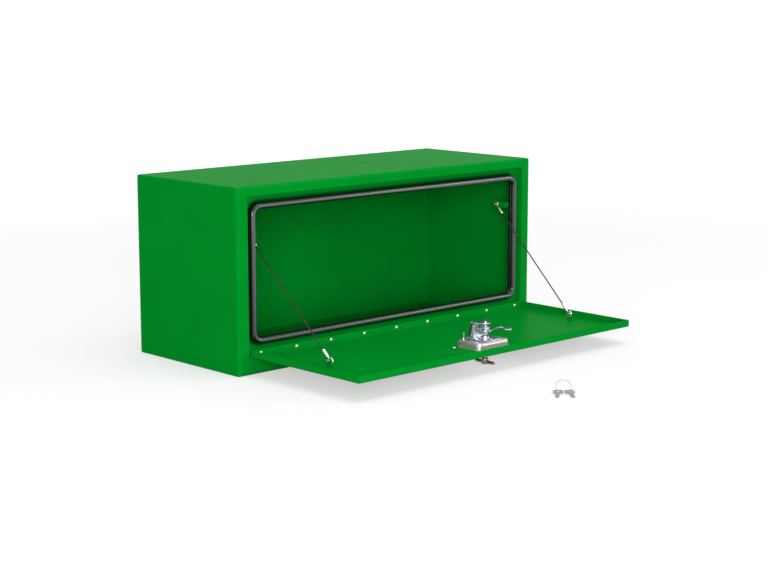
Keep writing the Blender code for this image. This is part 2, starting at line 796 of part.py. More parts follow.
def latch_bracket():
    """Folded from one blank: a foot on the dish, a web, a tongue over the spindle and a leaning gusset."""
    left, right = SPINDLE_X - BRACKET_LEFT, SPINDLE_X + BRACKET_RIGHT
    back = SPINDLE_Y + BRACKET_BACK + BRACKET_SHEET
    low, top = FOOT_LOW, TONGUE_LOW + BRACKET_SHEET
    shape = bmesh.new()

    def corner(x, y, z):
        return shape.verts.new((x, y, z))

    def on_left_edge(share):
        return left + BRACKET_LEAN * share, back, low + (top - low) * share

    low_left, low_right = corner(left, back, low), corner(right, back, low)
    top_left, top_right = corner(*on_left_edge(1)), corner(right, back, top)
    joined = [corner(*on_left_edge(share)) for share in GUSSET_EDGE_SHARES]
    shape.faces.new((low_right, top_right, top_left, joined[1], joined[0], low_left))
    front = SPINDLE_Y - BRACKET_FOOT_FRONT
    foot_left, foot_right = corner(left, front, low), corner(right, front, low)
    shape.faces.new((low_right, low_left, foot_left, foot_right))
    centre = SPINDLE_Y - BRACKET_TONGUE_FRONT + BRACKET_TONGUE_HALF
    nose = [corner(SPINDLE_X + x, centre + y, top) for x, y in arc(BRACKET_TONGUE_HALF, -2, 0, 6)]
    shape.faces.new((top_left, *nose, top_right))
    x, y, z = on_left_edge(GUSSET_EDGE_SHARES[1])
    gusset_top = corner(x, y - GUSSET_DEPTH * GUSSET_TOP_SHARE, z)
    x, y, z = on_left_edge(GUSSET_EDGE_SHARES[0])
    gusset_low = corner(x, y - GUSSET_DEPTH, z)
    shape.faces.new((joined[0], joined[1], gusset_top, gusset_low))
    bmesh.ops.recalc_face_normals(shape, faces=shape.faces)
    if shape.faces[0].normal.y < 0:
        bmesh.ops.reverse_faces(shape, faces=shape.faces)
    bracket = object_from("latch_bracket", shape, "zinc_plate")
    folds = {edge.index: 1 for edge in bracket.data.edges if edge_face_count(bracket, edge) == 2}
    bend_edges(bracket, folds, BRACKET_BEND)
    thicken(bracket, BRACKET_SHEET)
    level = ((SPINDLE_X, SPINDLE_Y, FOOT_LOW - OVERRUN), (SPINDLE_X, SPINDLE_Y, FOOT_TOP + OVERRUN))
    cut(bracket, rod_shape(SPINDLE_RADIUS + FIT, *level, TURN_STEPS))
    nose_hole = ((SPINDLE_X, SPINDLE_Y, TONGUE_LOW - OVERRUN), (SPINDLE_X, SPINDLE_Y, top + OVERRUN))
    cut(bracket, rod_shape(SPINDLE_NOSE_RADIUS + FIT, *nose_hole))
    return bracket


def tee_spindle():
    """Turned, with two cheeks under its head that hold the handle's pin."""
    base = DISH_CEILING - FIT - SPINDLE_HEAD
    levels = (
        (SPINDLE_NOSE_RADIUS, TONGUE_LOW + BRACKET_SHEET + SPINDLE_NOSE / 2),
        (SPINDLE_NOSE_RADIUS, TONGUE_LOW - SPINDLE_NOSE / 2),
        (SPINDLE_THREAD_RADIUS, TONGUE_LOW - SPINDLE_NOSE / 2),
        (SPINDLE_THREAD_RADIUS, CAM_LOW - FIT),
        (SPINDLE_COLLAR_RADIUS, CAM_LOW - FIT),
        (SPINDLE_COLLAR_RADIUS, COLLAR_LOW),
        (SPINDLE_RADIUS, COLLAR_LOW),
        (SPINDLE_RADIUS, DISH_CEILING - FIT),
        (SPINDLE_HEAD_RADIUS, DISH_CEILING - FIT),
        (SPINDLE_HEAD_RADIUS, base),
    )
    profile = [(0, levels[0][1] - base)] + [(radius, z - base) for radius, z in levels] + [(0, 0)]
    spindle = turned(
        "tee_spindle", profile, (SPINDLE_X, SPINDLE_Y, base), (0, 0, 1), "zinc_plate", TURN_STEPS
    )
    near = TEE_TONGUE_HALF + FIT
    far = near + CHEEK_THICKNESS
    for side in (-1, 1):
        y0, y1 = sorted((side * near, side * far))
        low = (SPINDLE_X - CHEEK_WIDTH / 2, SPINDLE_Y + y0, TEE_PIN_Z - CHEEK_WIDTH / 2)
        high = (SPINDLE_X + CHEEK_WIDTH / 2, SPINDLE_Y + y1, base + SPINDLE_HEAD / 2)
        join(spindle, box_shape(low, high))
    cut(spindle, tee_pin_shape(FIT, OVERRUN))
    return spindle


def tee_pin_shape(gap, overrun):
    reach = TEE_PIN_HALF + overrun
    ends = ((SPINDLE_X, SPINDLE_Y - reach, TEE_PIN_Z), (SPINDLE_X, SPINDLE_Y + reach, TEE_PIN_Z))
    return rod_shape(TEE_PIN_RADIUS + gap, *ends)


def spindle_bush():
    profile = [
        (SPINDLE_RADIUS + FIT, BUSH_HEIGHT),
        (BUSH_RADIUS, BUSH_HEIGHT),
        (BUSH_RADIUS, BUSH_FLANGE),
        (BUSH_FLANGE_RADIUS, BUSH_FLANGE),
        (BUSH_FLANGE_RADIUS, 0),
        (SPINDLE_RADIUS + FIT, 0),
        (SPINDLE_RADIUS + FIT, BUSH_HEIGHT),
    ]
    return turned(
        "spindle_bush", profile, (SPINDLE_X, SPINDLE_Y, BUSH_LOW), (0, 0, 1), "zinc_plate", TURN_STEPS
    )


def hex_nut(name, radius, bore, height, start, along):
    start, along = Vector(start), Vector(along)
    nut = object_from(name, rod_shape(radius, start, start + along * height, 6), "zinc_plate")
    cut(nut, rod_shape(bore, start - along * OVERRUN, start + along * (height + OVERRUN)))
    return nut


def latch_cam():
    """Stations along the arm give its half width and rise, and the sheet is cranked between two of them."""
    stations = []
    for step in range(1, CAM_HUB_STEPS - CAM_HUB_OPEN_STEPS + 1):
        angle = math.pi * (1 - step / CAM_HUB_STEPS)
        stations.append((CAM_HUB_RADIUS * math.cos(angle), CAM_HUB_RADIUS * math.sin(angle), CAM_RISE))
    stations += [
        (CAM_WAIST_REACH, CAM_WAIST_HALF, CAM_RISE),
        (CAM_CRANK_REACH, CAM_WAIST_HALF, 0),
        (CAM_SPEAR_REACH, CAM_SPEAR_HALF, 0),
        (CAM_LENGTH, CAM_TIP_HALF, 0),
    ]
    shape = bmesh.new()
    low = CAM_NOSE_LOW + CAM_SHEET / 2
    rows = [
        [shape.verts.new((SPINDLE_X + x, SPINDLE_Y + side * half, low + rise)) for side in (-1, 1)]
        for x, half, rise in stations
    ]
    for near, far in zip(rows, rows[1:]):
        shape.faces.new((near[0], far[0], far[1], near[1]))
    cam = object_from("latch_cam", shape, "zinc_plate")
    thicken(cam, CAM_SHEET, 0)
    ends = ((SPINDLE_X, SPINDLE_Y, CAM_LOW - OVERRUN), (SPINDLE_X, SPINDLE_Y, CAM_TOP + OVERRUN))
    cut(cam, rod_shape(SPINDLE_THREAD_RADIUS + FIT, *ends, TURN_STEPS))
    return cam


def tee_handle():
    """A turned bar across the end of a stem, a boss for the lock, and a flat tongue on the pin."""
    low = TEE_BAR_Z - TEE_BOSS_HALF
    tongue_low = TEE_PIN_Z - TEE_TONGUE_LENGTH
    boss_top = low + LOCK_LENGTH + TEE_BOSS_CAP
    levels = (
        (TEE_STEM_RADIUS * TEE_STEM_TOP_SHARE, tongue_low),
        (TEE_STEM_RADIUS, boss_top + TEE_BOSS_TAPER),
        (TEE_BOSS_RADIUS, boss_top),
        (TEE_BOSS_RADIUS, low + TEE_BOSS_EDGE),
        (TEE_BOSS_RADIUS - TEE_BOSS_EDGE, low),
    )
    profile = [(0, tongue_low - low)] + [(radius, z - low) for radius, z in levels] + [(0, 0)]
    handle = turned(
        "tee_handle", profile, (SPINDLE_X, SPINDLE_Y, low), (0, 0, 1), "black_chrome", TURN_STEPS
    )
    end = TEE_BAR_END_RADIUS
    half = TEE_BAR_HALF
    half_bar = [(end * y, half - end + end * x) for x, y in arc(1, 0, 1, 3)]
    bar = half_bar + [(TEE_BAR_RADIUS, 0)] + [(r, -z) for r, z in reversed(half_bar)]
    grip = turned("tee_bar", bar, (SPINDLE_X, SPINDLE_Y, TEE_BAR_Z), (0, 1, 0), None)
    boolean(handle, "UNION", grip)
    join(
        handle,
        box_shape(
            (SPINDLE_X - TEE_TONGUE_RADIUS, SPINDLE_Y - TEE_TONGUE_HALF, tongue_low - TEE_TONGUE_HALF),
            (SPINDLE_X + TEE_TONGUE_RADIUS, SPINDLE_Y + TEE_TONGUE_HALF, TEE_PIN_Z),
        ),
    )
    ends = (
        (SPINDLE_X, SPINDLE_Y - TEE_TONGUE_HALF, TEE_PIN_Z),
        (SPINDLE_X, SPINDLE_Y + TEE_TONGUE_HALF, TEE_PIN_Z),
    )
    join(handle, rod_shape(TEE_TONGUE_RADIUS, *ends))
    cut(handle, tee_pin_shape(FIT, OVERRUN))
    bore_end = low + LOCK_LENGTH + 2 * FIT
    ends = ((SPINDLE_X, SPINDLE_Y, low - OVERRUN), (SPINDLE_X, SPINDLE_Y, bore_end))
    cut(handle, rod_shape(LOCK_RADIUS + FIT, *ends, TURN_STEPS))
    return handle


def lock_plug():
    low = TEE_BAR_Z - TEE_BOSS_HALF + FIT
    ends = ((SPINDLE_X, SPINDLE_Y, low), (SPINDLE_X, SPINDLE_Y, low + LOCK_LENGTH))
    plug = object_from("lock_plug", rod_shape(LOCK_RADIUS, *ends, TURN_STEPS), "nickel")
    cut(
        plug,
        box_shape(
            (SPINDLE_X - KEYWAY_WIDTH / 2, SPINDLE_Y - KEYWAY_HEIGHT / 2, low - OVERRUN),
            (SPINDLE_X + KEYWAY_WIDTH / 2, SPINDLE_Y + KEYWAY_HEIGHT / 2, low + KEYWAY_DEPTH),
        ),
    )
    return plug


# Lanyards


def eye_places(side):
    """Each end's name, eye centre and direction along the cable, on one side of the box."""
    mirror = Vector((side, 1, 1))
    cabinet_eye, door_eye = CABINET_EYE * mirror, DOOR_EYE * mirror
    along = (door_eye - cabinet_eye).normalized()
    return {"cabinet": (cabinet_eye, along), "door": (door_eye, -along)}


def lanyard_end(name, eye, along, side):
    """A flat eye in the plane of the cable, a neck and a swaged ferrule."""
    across = Vector((side, 0, 0))
    across = (across - along * across.dot(along)).normalized()
    half = EYE_SHEET / 2
    ring = ring_profile(EYE_RADIUS, EYE_BORE, -half, half)
    end = turned(name, ring, eye, across, "nickel")
    reach = FERRULE_END
    sleeve = [
        (0, reach),
        (FERRULE_MOUTH_RADIUS, reach),
        (FERRULE_RADIUS, reach - FERRULE_TAPER),
        (FERRULE_RADIUS, FERRULE_START),
        (NECK_RADIUS, NECK_END),
        (NECK_RADIUS, EYE_RADIUS - EYE_SHEET / 2),
        (0, EYE_RADIUS - EYE_SHEET / 2),
    ]
    boolean(end, "UNION", turned(name + "_sleeve", sleeve, eye, along, None))
    return end


def ear_inner_x(eye, side):
    return eye.x + side * (EYE_SHEET / 2 + 2 * FIT)


def ear_shape(eye, side, outline):
    x = ear_inner_x(eye, side) + side * SHEET / 2
    return plate_shape("ear", [outline], SHEET, in_yz(x))


def screw_hole(eye):
    reach = 3 * EYE_RADIUS
    ends = (eye - Vector((reach, 0, 0)), eye + Vector((reach, 0, 0)))
    return rod_shape(SCREW_RADIUS + FIT, *ends)


def round_end(centre, radius, start, end):
    return [(centre[0] + x, centre[1] + y) for x, y in arc(radius, start, end, 6)]


def cabinet_tab(name, eye, side):
    """A foot welded behind the frame, and an ear that reaches back to the eye."""
    front = FRAME_BACK + FIT
    inner = ear_inner_x(eye, side)
    outer = side * (MOUTH_X - FIT)
    low, high = sorted((inner, outer))
    foot = rectangle((low, eye.z - TAB_HALF), (high, eye.z + TAB_HALF))
    tab = object_from(name, plate_shape("foot", [foot], SHEET, in_xz(front + SHEET / 2)), "green_paint")
    outline = [(front, eye.z - TAB_HALF)]
    outline += round_end((eye.y, eye.z), TAB_HALF, -1, 1)
    outline += [(front, eye.z + TAB_HALF)]
    join(tab, ear_shape(eye, side, outline))
    cut(tab, screw_hole(eye))
    return tab


def door_tab(name, eye, side):
    """A foot welded on the door's skin, and an ear that stands up to the eye."""
    low_z = SKIN_TOP + FIT
    inner = ear_inner_x(eye, side)
    low, high = sorted((inner, inner + side * TAB_FOOT))
    foot = rectangle((low, eye.y - TAB_HALF), (high, eye.y + TAB_HALF))
    tab = object_from(name, plate_shape("foot", [foot], SHEET, in_xy(low_z + SHEET / 2)), "green_paint")
    outline = [(eye.y - TAB_HALF, low_z), (eye.y + TAB_HALF, low_z)]
    outline += round_end((eye.y, eye.z), TAB_HALF, 0, 2)
    join(tab, ear_shape(eye, side, outline))
    cut(tab, screw_hole(eye))
    return tab


def lanyard_screw(name, eye, side):
    """A button head over the eye, and a shank that ends flush with its nut."""
    across = Vector((-side, 0, 0))
    grip = EYE_SHEET + FIT * 2 + SHEET + FIT + NUT_HEIGHT
    profile = [(SCREW_HEAD_RADIUS * x, grip + SCREW_HEAD_HEIGHT * y) for x, y in arc(1, 1, 0, 3)]
    profile += [(SCREW_RADIUS, grip), (SCREW_RADIUS, 0), (0, 0)]
    start = eye + across * (EYE_SHEET / 2 + FIT - grip)
    return turned(name, profile, start, across, "nickel")


def lanyard_nut(name, eye, side):
    start = Vector((ear_inner_x(eye, side) + side * (SHEET + FIT), eye.y, eye.z))
    return hex_nut(name, NUT_RADIUS, SCREW_RADIUS + FIT, NUT_HEIGHT, start, (side, 0, 0))


def lanyard_cable(name, start, end):
    """Taut between the two ferrules."""
    count = max(2, round((end - start).length / CABLE_POINT_STEP))
    curve = bpy.data.curves.new(name, "CURVE")
    curve.dimensions = "3D"
    curve.bevel_depth = CABLE_RADIUS
    curve.bevel_resolution = 2
    curve.use_fill_caps = True
    spline = curve.splines.new("POLY")
    spline.points.add(count)
    for i, point in enumerate(spline.points):
        point.co = (*start.lerp(end, i / count), 1)
    return object_of(name, curve, "cable_steel")


def lanyards():
    """Pieces that stay on the cabinet, and pieces that swing with the door."""
    fixed, swinging = [], []
    for side_name, side in (("left", -1), ("right", 1)):
        ends = []
        for place, (eye, along) in eye_places(side).items():
            label = f"{place}_{side_name}"
            make_tab = cabinet_tab if place == "cabinet" else door_tab
            pieces = [
                make_tab(f"lanyard_tab_{label}", eye, side),
                lanyard_end(f"lanyard_end_{label}", eye, along, side),
                lanyard_screw(f"lanyard_screw_{label}", eye, side),
                lanyard_nut(f"lanyard_nut_{label}", eye, side),
            ]
            (fixed if place == "cabinet" else swinging).extend(pieces)
            ends.append(eye + along * (FERRULE_END + FIT))
        fixed.append(lanyard_cable(f"lanyard_cable_{side_name}", *ends))
    return fixed, swinging


# Keys


def key_outline():
    """From the bow, whose hole is at the origin, along +X to the tip, with cuts along one edge."""
    back = -KEY_HOLE_BACK
    front = back + KEY_HEAD_LENGTH
    tip = front + KEY_BLADE_LENGTH
    chamfer = KEY_HEAD_CHAMFER
    half, blade = KEY_HEAD_HALF, KEY_BLADE_HALF
    points = [
        (back + chamfer, half),
        (back, half - chamfer),
        (back, chamfer - half),
        (back + chamfer, -half),
        (front - chamfer, -half),
        (front, -blade),
        (tip - blade, -blade),
        (tip, 0),
        (tip - blade, blade),
    ]
    margin = blade * KEY_CUT_START_SHARE
    pitch = (KEY_BLADE_LENGTH - 2 * margin) / len(KEY_CUT_SHARES)
    x = tip - margin
    for share in KEY_CUT_SHARES:
        depth = blade - KEY_CUT * share
        points += [(x, blade)] + [(x - pitch * span, depth) for span in KEY_CUT_SPAN_SHARES]
        x -= pitch
    return points + [(x, blade), (front, blade), (front - chamfer, half)]


def key(name, place):
    reach = KEY_HOLE_RADIUS + KEY_HOLE_HALF
    low, high = (-KEY_HOLE_RADIUS, -reach), (KEY_HOLE_RADIUS, reach)
    hole = rounded_rectangle(low, high, KEY_HOLE_RADIUS)
    return object_from(
        name, plate_shape(name, [key_outline(), hole], KEY_THICKNESS, place), "nickel"
    )


def keys():
    """The ring leans back on the ground, and threads each key's bow where it passes the hole's height."""
    lift = RING_RADIUS * math.sin(RING_TILT)
    centre_z = RING_WIRE + FIT + lift
    pitch_angle = math.asin((KEY_HOLE_HEIGHT - centre_z) / lift)
    base = Matrix.Translation((KEYS_X, KEYS_Y, 0)) @ Matrix.Rotation(KEYS_HEADING, 4, "Z")
    made = []
    reach = KEY_HEAD_LENGTH - KEY_HOLE_BACK + KEY_BLADE_LENGTH
    dip = math.asin((KEY_HOLE_HEIGHT - KEY_THICKNESS / 2 - FIT) / reach)
    for name, side, turn in zip(("key_left", "key_right"), (-1, 1), KEY_TURNS):
        x = side * RING_RADIUS * math.cos(pitch_angle)
        y = RING_RADIUS * math.cos(RING_TILT) * math.sin(pitch_angle)
        place = (
            base
            @ Matrix.Translation((x, y, KEY_HOLE_HEIGHT))
            @ Matrix.Rotation(turn - math.pi / 2, 4, "Z")
            @ Matrix.Rotation(dip, 4, "Y")
        )
        made.append(key(name, place))
    curve = bpy.data.curves.new("key_ring", "CURVE")
    curve.dimensions = "3D"
    curve.bevel_depth = RING_WIRE
    curve.bevel_resolution = 2
    spline = curve.splines.new("POLY")
    count = 2 * TURN_STEPS
    spline.points.add(count - 1)
    for i, point in enumerate(spline.points):
        angle = 2 * math.pi * i / count
        flat = Vector((RING_RADIUS * math.cos(angle), RING_RADIUS * math.sin(angle), 0))
        turned_up = Matrix.Rotation(RING_TILT, 4, "X") @ flat
        point.co = (*(base @ (turned_up + Vector((0, 0, centre_z)))), 1)
    spline.use_cyclic_u = True
    made.append(object_of("key_ring", curve, "nickel"))
    return made


def axis_empty(name, place, parent=None):
    """An empty on a joint's axis, which the pieces that move there are parented to."""
    empty = bpy.data.objects.new(name, None)
    empty.empty_display_size = KNUCKLE_RADIUS
    PARTS.objects.link(empty)
    empty.matrix_world = Matrix.Translation(place)
    if parent:
        hang(parent, [empty])
    return empty


def hang(empty, pieces):
    bpy.context.view_layer.update()
    for piece in pieces:
        piece.parent = empty
        piece.matrix_parent_inverse = empty.matrix_world.inverted()


def main():
    make_materials()
    cabinet_leaf, door_leaf, pin = hinge()
    fixed_lanyard, door_lanyard = lanyards()
    cabinet = [cabinet_wrapper(), back_panel(), door_frame(), latch_strike(), door_seal()]
    cabinet += [cabinet_leaf, pin]
    hang(axis_empty("cabinet_origin", (0, 0, 0)), cabinet + fixed_lanyard)
    door = [door_pan(), door_leaf, *hinge_rivets(), latch_dish(), *dish_rivets(), dish_stud()]
    door += [latch_bracket(), spindle_bush()]
    door_axis = axis_empty("door_axis", HINGE)
    hang(door_axis, door + door_lanyard)
    spindle_axis = axis_empty("spindle_axis", (SPINDLE_X, SPINDLE_Y, DISH_TOP), door_axis)
    nut = hex_nut(
        "cam_nut",
        CAM_NUT_RADIUS,
        SPINDLE_THREAD_RADIUS + FIT,
        CAM_NUT_HEIGHT,
        (SPINDLE_X, SPINDLE_Y, CAM_TOP + FIT),
        (0, 0, 1),
    )
    tee_pin = object_from("tee_pin", tee_pin_shape(0, 0), "nickel")
    hang(spindle_axis, [tee_spindle(), latch_cam(), nut, tee_pin])
    fold_axis = axis_empty("fold_axis", (SPINDLE_X, SPINDLE_Y, TEE_PIN_Z), spindle_axis)
    hang(fold_axis, [tee_handle()])
    lock_axis = axis_empty("lock_axis", (SPINDLE_X, SPINDLE_Y, TEE_BAR_Z), fold_axis)
    hang(lock_axis, [lock_plug()])
    hang(axis_empty("keys_place", (KEYS_X, KEYS_Y, 0)), keys())


clear_scene()
PARTS = new_collection("truck_tool_box")
HELPERS = new_collection("helpers")
main()
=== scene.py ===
"""Looks of the truck bed tool box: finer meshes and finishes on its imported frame, laid out as an add-on."""

import json
import math
from contextlib import contextmanager

import bmesh
import bpy
from bpy.props import FloatProperty, FloatVectorProperty, IntProperty, PointerProperty, StringProperty
from bpy.types import Operator, Panel, PropertyGroup
from mathutils import Matrix, Vector


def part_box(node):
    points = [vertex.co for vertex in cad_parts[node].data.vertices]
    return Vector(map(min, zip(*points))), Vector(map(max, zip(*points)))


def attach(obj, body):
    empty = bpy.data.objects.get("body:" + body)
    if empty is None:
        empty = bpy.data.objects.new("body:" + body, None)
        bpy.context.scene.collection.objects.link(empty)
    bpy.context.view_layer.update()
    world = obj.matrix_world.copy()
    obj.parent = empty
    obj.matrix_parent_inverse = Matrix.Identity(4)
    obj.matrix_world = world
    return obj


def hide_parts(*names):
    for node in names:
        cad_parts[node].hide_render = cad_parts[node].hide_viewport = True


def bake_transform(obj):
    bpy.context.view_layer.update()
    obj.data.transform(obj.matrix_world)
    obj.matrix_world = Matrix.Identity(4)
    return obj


bl_info = {
    "name": "Truck tool box",
    "version": (1, 0, 0),
    "blender": (4, 5, 0),
    "location": "3D View > Sidebar > Tool box",
    "description": "Models a green steel truck tool box with its door open, piece by piece",
    "category": "Object",
}

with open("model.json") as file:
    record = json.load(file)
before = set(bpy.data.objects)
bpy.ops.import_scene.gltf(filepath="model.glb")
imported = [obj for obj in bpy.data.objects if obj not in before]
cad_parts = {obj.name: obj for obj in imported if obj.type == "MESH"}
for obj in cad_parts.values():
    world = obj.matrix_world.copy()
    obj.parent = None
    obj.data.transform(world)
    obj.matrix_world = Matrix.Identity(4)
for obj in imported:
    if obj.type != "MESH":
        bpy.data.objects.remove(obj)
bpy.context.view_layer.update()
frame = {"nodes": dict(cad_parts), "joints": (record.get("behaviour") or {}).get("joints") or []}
JOINTS = {joint["name"]: Vector(joint["pos_m"]) for joint in frame["joints"] if "pos_m" in joint}
HINGE, SPINDLE, FOLD = JOINTS["door_hinge"], JOINTS["tee_turn"], JOINTS["tee_fold"]
SIDES = {"left": -1, "right": 1}
UP = (0, 0, 1)
QUARTER = math.pi / 2

# Gap between pieces that rest on each other, and how near two points are taken as one
CLEARANCE = 0.0003
WELD = 0.000002

# Radii of the holes that pins, screws and the lock go through
SPINDLE_HOLE = 0.0063
THREAD_HOLE = 0.0053
NOSE_HOLE = 0.0043
LOCK_HOLE = 0.0058
TEE_PIN_HOLE = 0.00205
SCREW_HOLE = 0.0027

# Chamfer of the turned edges, and the lanyards' ends: half the thickness of an eye, the height of a screw's
# cap with its washer, and the way from an eye's middle to the end of the rope in its sleeve
EDGE = 0.0004
EYE_HALF = 0.0013
SCREW_CAP = 0.0026
ROPE_FROM_EYE = 0.0313


def length(name, default, description):
    return FloatProperty(
        name=name, description=description, default=default, min=0.0, subtype="DISTANCE", unit="LENGTH"
    )


def turn(name, default, description):
    return FloatProperty(
        name=name, description=description, default=default, subtype="ANGLE", unit="ROTATION"
    )


def colour(name, default, description):
    return StringProperty(name=name, description=description, default=default)


class CabinetSizes(PropertyGroup):
    sheet: length("Sheet", 0.002, "Thickness of the cabinet's and the door's sheet")
    front_bend: length("Front bend", 0.008, "Outer radius round the front")
    long_bend: length("Long bend", 0.004, "Outer radius along the depth")
    mouth_side: length("Side border", 0.0282, "Width of the border beside the mouth")
    mouth_top: length("Top border", 0.0209, "Height of the border over the mouth")
    mouth_bottom: length("Bottom border", 0.0357, "Height of the border under the mouth")
    mouth_return: length("Return", 0.020, "Depth of the edge that is folded in round the mouth")
    door_bend: length("Door bend", 0.003, "Outer radius of the door's bends")
    bend_steps: IntProperty(name="Bend steps", description="Facets in each bend", default=7, min=2)


class SealSizes(PropertyGroup):
    width: length("Width", 0.014, "Width of the rubber trim")
    wall: length("Slot", 0.0026, "Width of the slot that grips the lip")
    neck: length("Neck", 0.0012, "How far the trim draws in behind its bulb")
    lip_radius: length("Corner", 0.020, "Corner radius of the lip's centre line")
    steps: IntProperty(name="Corner steps", description="Facets round each corner", default=14, min=4)


class HingeSizes(PropertyGroup):
    leaf: length("Leaf", 0.0015, "Thickness of a leaf")
    knuckle: length("Knuckle", 0.0036, "Outer radius of a knuckle")
    gap: length("Gap", 0.0004, "Gap between two knuckles")
    count: IntProperty(name="Knuckles", description="Number of knuckles on both leaves", default=17, min=3)


class LatchSizes(PropertyGroup):
    dish_sheet: length("Dish sheet", 0.0012, "Thickness of the drawn dish")
    dish_corner: length("Dish corner", 0.014, "Corner radius of the dish in plan")
    bracket_sheet: length("Bracket sheet", 0.002, "Thickness of the bracket")
    bracket_bend: length("Bracket bend", 0.003, "Outer radius of the bracket's folds")
    cam_sheet: length("Cam sheet", 0.003, "Thickness of the cam")
    bar_radius: length("Bar radius", 0.0042, "Radius of the tee handle's bar at its middle")
    stem_radius: length("Stem radius", 0.005, "Radius of the tee handle's stem")


class LanyardSizes(PropertyGroup):
    diameter: length("Rope", 0.003, "Diameter of the wire rope")
    strand_pitch: length("Lay", 0.021, "Length in which a strand goes once round")
    strands: IntProperty(name="Strands", description="Outer strands of the rope", default=6, min=3)
    ferrule: length("Ferrule", 0.0032, "Radius of the swaged ferrule")


class KeySizes(PropertyGroup):
    heading: turn("Heading", math.radians(-43), "Way that the keys point on the ground")
    left_turn: turn("Left key", math.radians(-9), "Turn of the left key on the ring")
    right_turn: turn("Right key", math.radians(6), "Turn of the right key on the ring")
    tilt: turn("Tilt", math.radians(45), "How far the ring leans back")
    thickness: length("Blank", 0.0022, "Thickness of a key")
    head_half: length("Bow", 0.0105, "Half width of a key's bow")
    head_length: length("Bow length", 0.021, "Length of a key's bow")
    chamfer: length("Clipped corner", 0.005, "Size of the bow's clipped corners")
    hole_back: length("Hole place", 0.0062, "From the hole's middle to the bow's end")
    hole_radius: length("Hole", 0.0045, "Radius of the bow's hole")
    hole_half: length("Slot", 0.0015, "Half length of the hole's straight sides")
    hole_height: length("Hole height", 0.0044, "Height of the hole's middle over the ground")
    blade_half: length("Blade", 0.0041, "Half width of a key's blade")
    blade_length: length("Blade length", 0.0277, "Length of a key's blade")
    cut_depth: length("Cut", 0.0018, "Deepest cut in the blade")
    ring_radius: length("Ring", 0.016, "Radius of the key ring")
    wire: length("Wire", 0.0016, "Thickness of the key ring over both turns")


class Finishes(PropertyGroup):
    paint: colour("Paint", "#018A27", "Green powder coat")
    rubber: colour("Rubber", "#0B0C0D", "Door seal")
    # Painted highlight: the grey on the front of the door seal
    painted_highlight: colour("Seal highlight", "#4C5450", "Painted highlight on the front of the door seal")
    stainless: colour("Stainless", "#DCCFC9", "Drawn dish")
    zinc: colour("Zinc", "#E3E9F6", "Plated bracket, cam and spindle")
    dark_chrome: colour("Dark chrome", "#8A8278", "Tee handle")
    nickel: colour("Nickel", "#E2E2E0", "Screws, pins and lock")
    nickel_silver: colour("Nickel silver", "#A5A3A1", "Keys and ring")
    aluminium: colour("Aluminium", "#F0F2EE", "Rivets and ferrules")
    rope: colour("Rope", "#3E403E", "Steel wire rope")
    # Painted shade: the black of the washers that stand in for the shadow round the screws' caps
    shade_ring: colour("Shade ring", "#1B1C1D", "Washers of the lanyards")
    floor: colour("Floor", "#B4B4B4", "Studio floor")


class StageSizes(PropertyGroup):
    camera_place: FloatVectorProperty(
        name="Camera",
        description="Place of the camera",
        default=(-2.684, -2.984, 0.825),
        subtype="TRANSLATION",
    )
    camera_azimuth: turn("Azimuth", math.radians(-43.36), "Direction that the camera looks from")
    camera_elevation: turn("Elevation", math.radians(10.02), "How far the camera looks down")
    lens: FloatProperty(name="Lens", description="Focal length in millimetres", default=80.59, min=1)
    floor: length("Floor", 60.0, "Side of the square floor")


def props(name):
    return getattr(bpy.context.scene, name)


def linear(hex_colour):
    """An sRGB hex colour as the linear colour that shaders take."""
    channels = [int(hex_colour[i : i + 2], 16) / 255 for i in (1, 3, 5)]
    return tuple(c / 12.92 if c <= 0.04045 else ((c + 0.055) / 1.055) ** 2.4 for c in channels) + (1.0,)


# Modelling steps that every piece shares


def only(obj):
    bpy.ops.object.select_all(action="DESELECT")
    obj.select_set(True)
    bpy.context.view_layer.objects.active = obj
    return obj


def link(name, data):
    obj = bpy.data.objects.new(name, data)
    bpy.context.scene.collection.objects.link(obj)
    return obj


@contextmanager
def editing(obj, kind, action="DESELECT"):
    """Edit mode on one object, picking by vertex, edge or face, with nothing selected or with everything."""
    only(obj)
    bpy.ops.object.mode_set(mode="EDIT")
    bpy.ops.mesh.select_mode(type=kind)
    bpy.ops.mesh.select_all(action=action)
    yield
    bpy.ops.object.mode_set(mode="OBJECT")


def pick(obj, rule):
    """Selects the vertices, edges or faces that a rule takes, and nothing else."""
    shape = bmesh.from_edit_mesh(obj.data)
    mode = bpy.context.tool_settings.mesh_select_mode
    for item in shape.faces[:] + shape.edges[:] + shape.verts[:]:
        item.select = False
    shape.normal_update()
    for item in shape.verts if mode[0] else shape.edges if mode[1] else shape.faces:
        if rule(item):
            item.select_set(True)
    shape.select_flush_mode()
    bmesh.update_edit_mesh(obj.data)


def facing(direction):
    """A rule for faces that look along a direction."""
    return lambda face: face.normal.dot(Vector(direction)) > 0.9


def settle(obj):
    only(obj)
    bpy.ops.object.transform_apply(location=True, rotation=True, scale=True)
    return obj


def put(obj, place):
    """Sets a piece down at a placing matrix."""
    obj.matrix_world = place
    return settle(obj)


def standing(start, along):
    """A placing matrix at a point, whose Z runs along a direction."""
    return Matrix.Translation(Vector(start)) @ Vector(along).to_track_quat("Z", "Y").to_matrix().to_4x4()


def add_block(name, low, high):
    low, high = Vector(low), Vector(high)
    bpy.ops.object.select_all(action="DESELECT")
    bpy.ops.mesh.primitive_cube_add(size=1, location=(low + high) / 2)
    block = bpy.context.object
    block.name = name
    block.scale = high - low
    return settle(block)


def add_rod(name, radius, start, end, sides=48):
    start, end = Vector(start), Vector(end)
    along = end - start
    bpy.ops.object.select_all(action="DESELECT")
    bpy.ops.mesh.primitive_cylinder_add(
        vertices=sides, radius=radius, depth=along.length, location=(start + end) / 2
    )
    rod = bpy.context.object
    rod.name = name
    rod.rotation_mode = "QUATERNION"
    rod.rotation_quaternion = along.to_track_quat("Z", "Y")
    return settle(rod)


